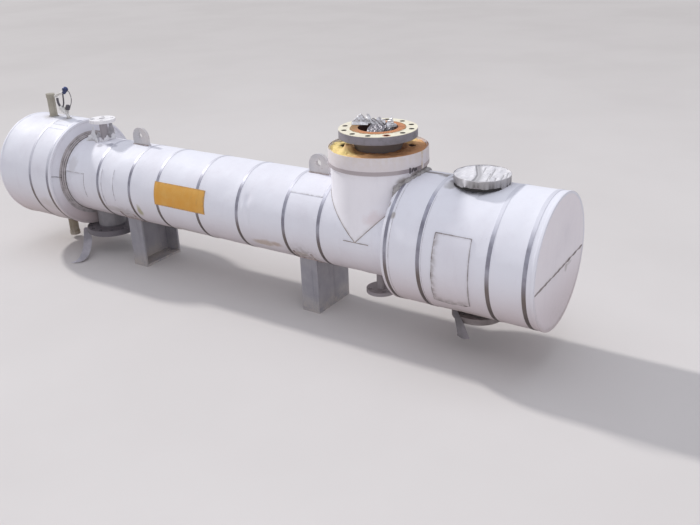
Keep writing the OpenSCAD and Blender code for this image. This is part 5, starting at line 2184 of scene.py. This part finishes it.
@dataclass
class Welds(SubAssembly):
    """Weld beads and mastic at the lugs, the stubs and the saddles.

    Attributes:
        saddle_half: Half a saddle's length along the shell.
        saddle_y: Half the width of its top.
        lug_half: Half a lug's length.
        lug_y: Half its thickness and its bead's.
    """

    saddle_half: float = 0.055
    saddle_y: float = 0.1445
    lug_half: float = 0.063
    lug_y: float = 0.0095
    @staticmethod
    def bead(path: Array, radius: float, seed: int, closed: bool = False) -> Solid:
        """A weld bead: a round section whose size pulses along its path."""
        step = np.linspace(0, len(path) * 0.9, len(path))
        pulse = 1 + 0.10 * np.sin(step) + Ripple(seed, 0.02, 0.12)(path)
        return Form.carried(path, Form.circle(radius, 8), closed, pulse)

    def build(self) -> None:
        """Make the mastic rings round the posts and the beads at the saddles and lugs."""
        rings = (
            (PLAN.stub_x, 0.0275, PLAN.rear_r, 1), (PLAN.stub_x, 0.0335, PLAN.rear_r, -1),
            (PLAN.valve_x, 0.0125, PLAN.rear_r, 1), (PLAN.bottom_x, 0.086, PLAN.shell_r, -1),
            (PLAN.riser_x, 0.0255, PLAN.shell_r, -1), (PLAN.channel_x, 0.0585, PLAN.front_r, -1),
        )
        mastic = together(
            self.bead(round_post(*ring), 0.0042, 170 + k, True) for k, ring in enumerate(rings)
        )
        piece("post_mastic", mastic, Sealant("mastic_grey"), crease=70)

        smears, lugs = [], []
        turn = np.radians(np.linspace(215, 325, 80))
        for k, x in enumerate((PLAN.rear_saddle, PLAN.front_saddle)):
            low, high = x - self.saddle_half, x + self.saddle_half
            for place in (low, high):
                path = Form.round_shell(place, turn, PLAN.shell_r - 0.0005)
                smears.append(self.bead(path, 0.0045, 180 + k))
            for side in (-1, 1):
                path = along_drum(
                    np.linspace(low, high, 30), side * self.saddle_y, PLAN.shell_r, -1)
                smears.append(self.bead(path, 0.0055, 190 + k))
                path = along_drum(
                    np.linspace(x - self.lug_half, x + self.lug_half, 40), side * self.lug_y,
                    PLAN.shell_r, 1)
                lugs.append(self.bead(path, 0.0038, 200 + k))
        pink = Sealant("mastic_pink", (0.50, 0.42, 0.40), (0.26, 0.21, 0.20))
        piece("saddle_mastic", together(smears), pink, crease=70)
        piece("lug_mastic", together(lugs), pink, crease=70)


@dataclass
class Tapes(SubAssembly):
    """The two strips of grey tape that hang from the bottom flanges.

    Attributes:
        width: Width of the strip.
        thickness: Its thickness.
    """

    width: float = 0.050
    thickness: float = 0.0009

    def ribbon(self, path: Array, side: Array, width: Array, seed: int) -> Solid:
        """A ribbon: each point of the path, moved along the side direction by the width.

        Its edges curl up, and it ripples a little.
        """
        across = np.linspace(-0.5, 0.5, 13)[None, :, None]
        grid = path[:, None] + across * width[:, None, None] * side
        curl = 0.05 * (2 * across) ** 2 * width[:, None, None]
        ripple = Ripple(seed, 0.05, 0.0012)(grid)[..., None]
        grid = grid + np.array((0, 0, 1)) * (curl + np.abs(ripple))
        return Form.slab(grid + np.array((0, 0, self.thickness)), grid)

    def build(self) -> None:
        """Make both tapes."""
        rear = curve([
            (-1.3540, -0.076, 0.1300), (-1.3240, -0.102, 0.1120), (-1.2750, -0.145, 0.0830),
            (-1.2270, -0.200, 0.0500), (-1.1960, -0.250, 0.0260), (-1.1850, -0.290, 0.0120),
            (-1.1960, -0.322, 0.0055), (-1.2150, -0.332, 0.0035),
        ], 90)
        front = curve([
            (1.3290, -0.112, 0.2000), (1.3343, -0.120, 0.1855), (1.3606, -0.135, 0.1524),
            (1.3885, -0.150, 0.0958), (1.3900, -0.152, 0.0796),
        ], 50)
        share = np.linspace(0, 1, len(rear))
        full = np.interp(share, [0, 0.06, 0.3, 0.8, 0.93, 1], [0.028, 0.044, 0.053, 0.050,
                                                               0.040, 0.018])
        share = np.linspace(0, 1, len(front))
        widen = np.interp(share, [0, 0.12, 0.45, 0.86, 1], [0.020, 0.024, 0.039, 0.068,
                                                            0.014])
        piece("loose_rear_tape", self.ribbon(rear, np.array((0.80, 0.60, 0.0)), full, 211),
              Plain("tape_grey", (0.52, 0.50, 0.54), (0.38, 0.365, 0.40), 0.45, 0.0, 60,
                    0.0008), ("hanging_tapes",), crease=50)
        piece("loose_front_tape", self.ribbon(front, np.array((1.0, 0.0, 0.0)), widen, 212),
              Plain("tape_dark", (0.24, 0.22, 0.235), (0.14, 0.13, 0.135), 0.45, 0.0, 60,
                    0.0008), crease=50)


@dataclass
class Label(SubAssembly):
    """The blank orange label on the shell, laid over two bands.

    Attributes:
        x: Its ends along the shell.
        angle: Its ends round the shell in degrees.
        bands: The bands that it covers.
    """

    x: tuple[float, float] = (-0.5035, -0.1235)
    angle: tuple[float, float] = (152.6, 185.2)
    bands: tuple[float, ...] = (-0.4845, -0.1835)

    def build(self) -> None:
        """Make the label: a thin sheet on the drum, raised where it crosses the bands.

        The height over the sheet is a small lift, a flat-topped bump at each band and small
        wrinkles that grow towards the right edge.
        """
        x = stations(*self.x, 0.004)
        turn = np.radians(np.linspace(*self.angle, 40))[:, None]
        flat = Form.round_shell(x, turn, PLAN.shell_r)
        lift = 0.0004 + 0.0010 * sum(
            ramp(np.abs(x - place), 0.020, 0.0105) for place in self.bands)
        wrinkle = Ripple(221, 0.045, 0.0009, creased=True)(flat)
        lift = lift + np.maximum(wrinkle, 0) * (0.25 + 0.9 * ramp(x, -0.22, self.x[1]))
        border = most(near(x, self.x[0], 0.006), near(x, self.x[1], 0.010),
                      near(turn, turn[0, 0], 0.02), near(turn, turn[-1, 0], 0.03))
        sheet = Form.slab(
            Form.round_shell(x, turn, PLAN.shell_r, lift + 0.0004),
            Form.round_shell(x, turn, PLAN.shell_r, -0.0012), marks={"grime": border})
        piece("blank_label", sheet, LabelEnamel("label_enamel"),
              ("label_plate",), crease=50)


# ---------------------------------------------------------------- studio


def pose(side: Array, up: Array, back: Array, place: Point) -> Matrix:
    """The matrix whose columns are three axes and a place."""
    turn = np.eye(4)
    turn[:3] = np.column_stack([side, up, back, place])
    return Matrix(turn.tolist())


@dataclass(frozen=True)
class Lamp:
    """A lamp that looks from a place to an aim.

    Attributes:
        name: Its name.
        kind: Blender's kind of lamp.
        place: Where it stands.
        aim: What it looks at.
        power: Its watts, or the sun's strength.
        size: Its width in metres, or the sun's angle in radians.
        colour: The colour of its light.
    """

    name: str
    kind: str
    place: Point
    aim: Point
    power: float
    size: float
    colour: Colour

    def hang(self) -> None:
        """Put the lamp in the scene: its back axis points away from the aim."""
        data = bpy.data.lights.new(self.name, self.kind)
        data.energy, data.color = self.power, self.colour
        setattr(data, "angle" if self.kind == "SUN" else "size", self.size)
        back = np.array(self.place, float) - np.array(self.aim, float)
        back /= np.linalg.norm(back)
        side = np.cross((0, 0, 1), back)
        side /= np.linalg.norm(side)
        put(self.name, data).matrix_world = pose(side, np.cross(back, side), back, self.place)


@dataclass
class Studio:
    """Camera, lights and floor.

    Attributes:
        place: The camera's place.
        yaw: Its turn from +Y towards -X in degrees.
        pitch: How far it looks down in degrees.
        roll: Its roll in degrees.
        lens: Its lens in millimetres.
        sensor: Its sensor's width in millimetres.
        floor_r: Radius of the floor.
        sky: The world's colour.
        sky_power: The world's strength.
        lamps: The lamps.
    """

    place: Point = (2.8221, -3.2005, 1.9313)
    yaw: float = 34.0533
    pitch: float = 23.3228
    roll: float = -2.2408
    lens: float = 41.149
    sensor: float = 36.0
    floor_r: float = 60.0
    sky: Colour = (0.91, 0.925, 1.0)
    sky_power: float = 0.56
    lamps: tuple[Lamp, ...] = (
        Lamp("key", "SUN", (-8.2, 1.2, 5.7), (0, 0, 0.5), 2.15, 0.06, (1.0, 0.985, 0.965)),
        Lamp("fill", "AREA", (4.9, -4.7, 3.0), (0, 0, 0.5), 50.0, 5.0, (0.96, 0.95, 1.0)),
        Lamp("top", "AREA", (0.2, -0.5, 7.0), (0.2, 0, 0.5), 150.0, 8.0, (0.88, 0.92, 1.0)),
    )

    def camera(self) -> None:
        """Set the camera by its turns: its axes are columns of its matrix."""
        yaw, pitch, roll = map(math.radians, (self.yaw, self.pitch, self.roll))
        ahead = np.array([
            -math.sin(yaw) * math.cos(pitch), math.cos(yaw) * math.cos(pitch), -math.sin(pitch)])
        level = np.array([math.cos(yaw), math.sin(yaw), 0.0])
        up = np.cross(level, ahead)
        right = level * math.cos(roll) + up * math.sin(roll)
        above = -level * math.sin(roll) + up * math.cos(roll)
        data = bpy.data.cameras.new("studio_camera")
        data.lens, data.sensor_width, data.clip_end = self.lens, self.sensor, 500.0
        made = put("studio_camera", data)
        made.matrix_world = pose(right, above, -ahead, self.place)
        bpy.context.scene.camera = made

    def floor(self) -> None:
        """A round pale floor with a faint mottle, closed as a thin slab."""
        slab = Form.turned(Form.bar(0, self.floor_r, -0.02, 0.0), (0, 0, 0), segments=128)
        pale = Plain("floor_pale", (0.65, 0.62, 0.605), (0.62, 0.59, 0.575), 0.85, 0.0, 3.0,
                     0.0001)
        put("studio_floor", mesh_of("studio_floor", slab, pale))

    def build(self) -> None:
        """Set the floor, the lamps and the world."""
        self.floor()
        for lamp in self.lamps:
            lamp.hang()
        world = bpy.data.worlds.new("studio_world")
        world.use_nodes = True
        sky = world.node_tree.nodes["Background"]
        sky.inputs["Color"].default_value = (*self.sky, 1.0)
        sky.inputs["Strength"].default_value = self.sky_power
        bpy.context.scene.world = world
        bpy.context.scene.view_settings.view_transform = "Standard"


# ---------------------------------------------------------------- the whole


def dress_kept() -> None:
    """Give every node whose shape is kept its finish."""
    # painted shade: the bottom nozzle's paint is drawn dark as it lies in shade, and darker still
    # below the split on its flange
    dress(Paint("nozzle_grey", (0.23, 0.22, 0.235), (0.31, 0.295, 0.31), split=0.176,
                lower=(0.14, 0.125, 0.14)), "bottom_nozzle")
    # painted shade: the vent nozzle's neck below the split is drawn dark grey, in the shade of
    # its flange
    dress(Paint("vent_grey", (0.84, 0.82, 0.83), (0.88, 0.86, 0.87), (0.40, 0.37, 0.36),
                split=0.836, lower=(0.30, 0.27, 0.29)),
          "vent_nozzle")
    # painted shade: a darker paint for the drain nozzle, which lies in the shadow under the rear
    # box
    dress(Paint("drain_grey", (0.31, 0.275, 0.29), (0.37, 0.335, 0.345), (0.14, 0.11, 0.10)),
          "drain_nozzle", "channel_top_nozzle")
    # painted shade: the wrapped flange under the front box is drawn dark as it lies in the box's
    # shadow
    dress(Paint("wrap_grey", (0.20, 0.17, 0.165), (0.28, 0.245, 0.24), (0.14, 0.11, 0.10),
                chips=0.2), "channel_bottom_nozzle")
    dress(Paint("olive_grey", (0.33, 0.30, 0.24), (0.43, 0.40, 0.33), (0.22, 0.17, 0.11)),
          "vent_stub")
    dress(Paint("olive_brown", (0.23, 0.18, 0.12), (0.32, 0.27, 0.20), (0.16, 0.08, 0.04), 0.4),
          "drain_stub")
    dress(FlangePaint("flange_cream"), "top_nozzle")
    dress(Paint("saddle_grey", (0.305, 0.295, 0.325), (0.355, 0.34, 0.365), chips=0.08),
          "rear_saddle_frame", "front_saddle_frame")
    dress(Paint("lug_grey", (0.56, 0.55, 0.57), (0.66, 0.62, 0.61), (0.34, 0.25, 0.22), 0.25),
          "lifting_lugs")
    dress(Plain("steel_inside", (0.30, 0.30, 0.31), (0.20, 0.20, 0.21), 0.5, 0.6, 80, 0.0005),
          "shell_pipe", "shell_flanges", "rear_tubesheet", "front_tubesheet", "baffle_cage",
          "rear_bonnet", "channel", "channel_cover")
    dress(Plain("tube_steel", (0.55, 0.54, 0.53), (0.42, 0.41, 0.40), 0.35, 0.9, 200, 0.0002),
          "tubes")


def boxes() -> tuple[Drum, Drum]:
    """The front and the rear end box."""
    box = PLAN.front_r
    front = Drum(
        "front_box", PLAN.front_r, PLAN.front_face, PLAN.front_end,
        (1.0615, 1.2335, 1.5725, 1.7375), (40.0, 42.0, 48.0, 38.0),
        (
            Lap((1.072, 1.0835), (100.0, 262.0), Lap.Edge.HIGH_X),
            Lap((1.244, 1.2510), (120.0, 262.0), Lap.Edge.HIGH_X),
            Lap((1.243, 1.563), (52.0, 60.0), Lap.Edge.LOW_ANGLE),
            Lap((1.071, 1.224), (44.0, 54.0), Lap.Edge.LOW_ANGLE),
            Lap((1.582, 1.728), (40.0, 48.0), Lap.Edge.LOW_ANGLE),
        ),
        ((-0.309, 0.459), (-0.034, 0.464), (0.309, 0.476)),
        (
            Stain(on_round(1.083, 85, box), (0.028, 0.045, 0.03), (0.17, 0.15, 0.13), 0.8),
            Stain(on_round(1.055, 100, box), (0.022, 0.05, 0.03), (0.20, 0.17, 0.15), 0.8),
            Stain(on_round(1.036, 118, box), (0.020, 0.05, 0.03), (0.24, 0.21, 0.19), 0.75),
            Stain(on_round(1.220, 87, box), (0.045, 0.05, 0.03), (0.22, 0.19, 0.17), 0.6),
            Stain(on_round(1.042, 136, box), (0.012, 0.025, 0.02), (0.30, 0.26, 0.23), 0.7),
            Stain(on_round(1.077, 144, box), (0.016, 0.025, 0.02), (0.34, 0.30, 0.27), 0.7),
            # painted shadow: two near-black stains on the box under the foil cap
            Stain((1.396, 0.0, 0.800), (0.118, 0.118, 0.05), (0.035, 0.03, 0.03), 0.96),
            Stain((1.396, -0.058, 0.803), (0.118, 0.078, 0.05), (0.035, 0.03, 0.03), 0.97),
            Stain((1.290, -0.075, 0.803), (0.050, 0.040, 0.03), (0.40, 0.38, 0.37), 0.7),
            Stain((1.140, 0.030, 0.814), (0.110, 0.022, 0.02), (0.20, 0.17, 0.16), 0.85),
            Stain((1.235, 0.012, 0.815), (0.075, 0.020, 0.02), (0.24, 0.21, 0.20), 0.80),
            Stain((1.272, -0.040, 0.811), (0.022, 0.022, 0.02), (0.20, 0.18, 0.18), 0.60),
            Stain((1.781, 0.090, 0.440), (0.03, 0.018, 0.030), (0.46, 0.42, 0.41), 0.6),
            Stain((1.781, 0.120, 0.450), (0.03, 0.060, 0.012), (0.50, 0.46, 0.45), 0.5),
            Stain((1.45, -0.20, 0.245), (0.16, 0.09, 0.03), (0.44, 0.38, 0.35), 0.5),
        ),
        seed=230,
    )
    box = PLAN.rear_r
    rear = Drum(
        "rear_box", PLAN.rear_r, PLAN.rear_face, PLAN.rear_end,
        (-1.3175, -1.4835), (42.0, 48.0),
        (
            Lap((-1.473, -1.328), (108.0, 115.0), Lap.Edge.LOW_ANGLE),
            Lap((-1.766, -1.493), (66.0, 73.0), Lap.Edge.LOW_ANGLE),
        ),
        ((-0.322, 0.470), (0.0, 0.478), (0.322, 0.480)),
        (
            Stain(on_round(-1.5895, 90, box), (0.09, 0.08, 0.03), (0.45, 0.42, 0.40), 0.55),
            Stain(on_round(-1.4405, 92, box), (0.05, 0.06, 0.03), (0.50, 0.47, 0.45), 0.5),
            Stain(on_round(-1.38, 205, box), (0.10, 0.06, 0.06), (0.52, 0.47, 0.43), 0.35),
        ),
        seed=250,
    )
    return front, rear


def main() -> None:
    """Build the exchanger's pieces in order."""
    studio = Studio()
    studio.camera()
    dress_kept()
    front, rear = boxes()
    assemblies: list[SubAssembly] = [
        ShellJacket(), Bands(), Riser(), front, rear, BoxPatch(), TornFoil(), FoilCap(),
        VentTop(), Valve(), Welds(), Tapes(), Label(),
    ]
    for assembly in assemblies:
        LOG.info("-- %s", type(assembly).__name__)
        assembly.build()
    studio.build()


if __name__ == "__main__":
    main()
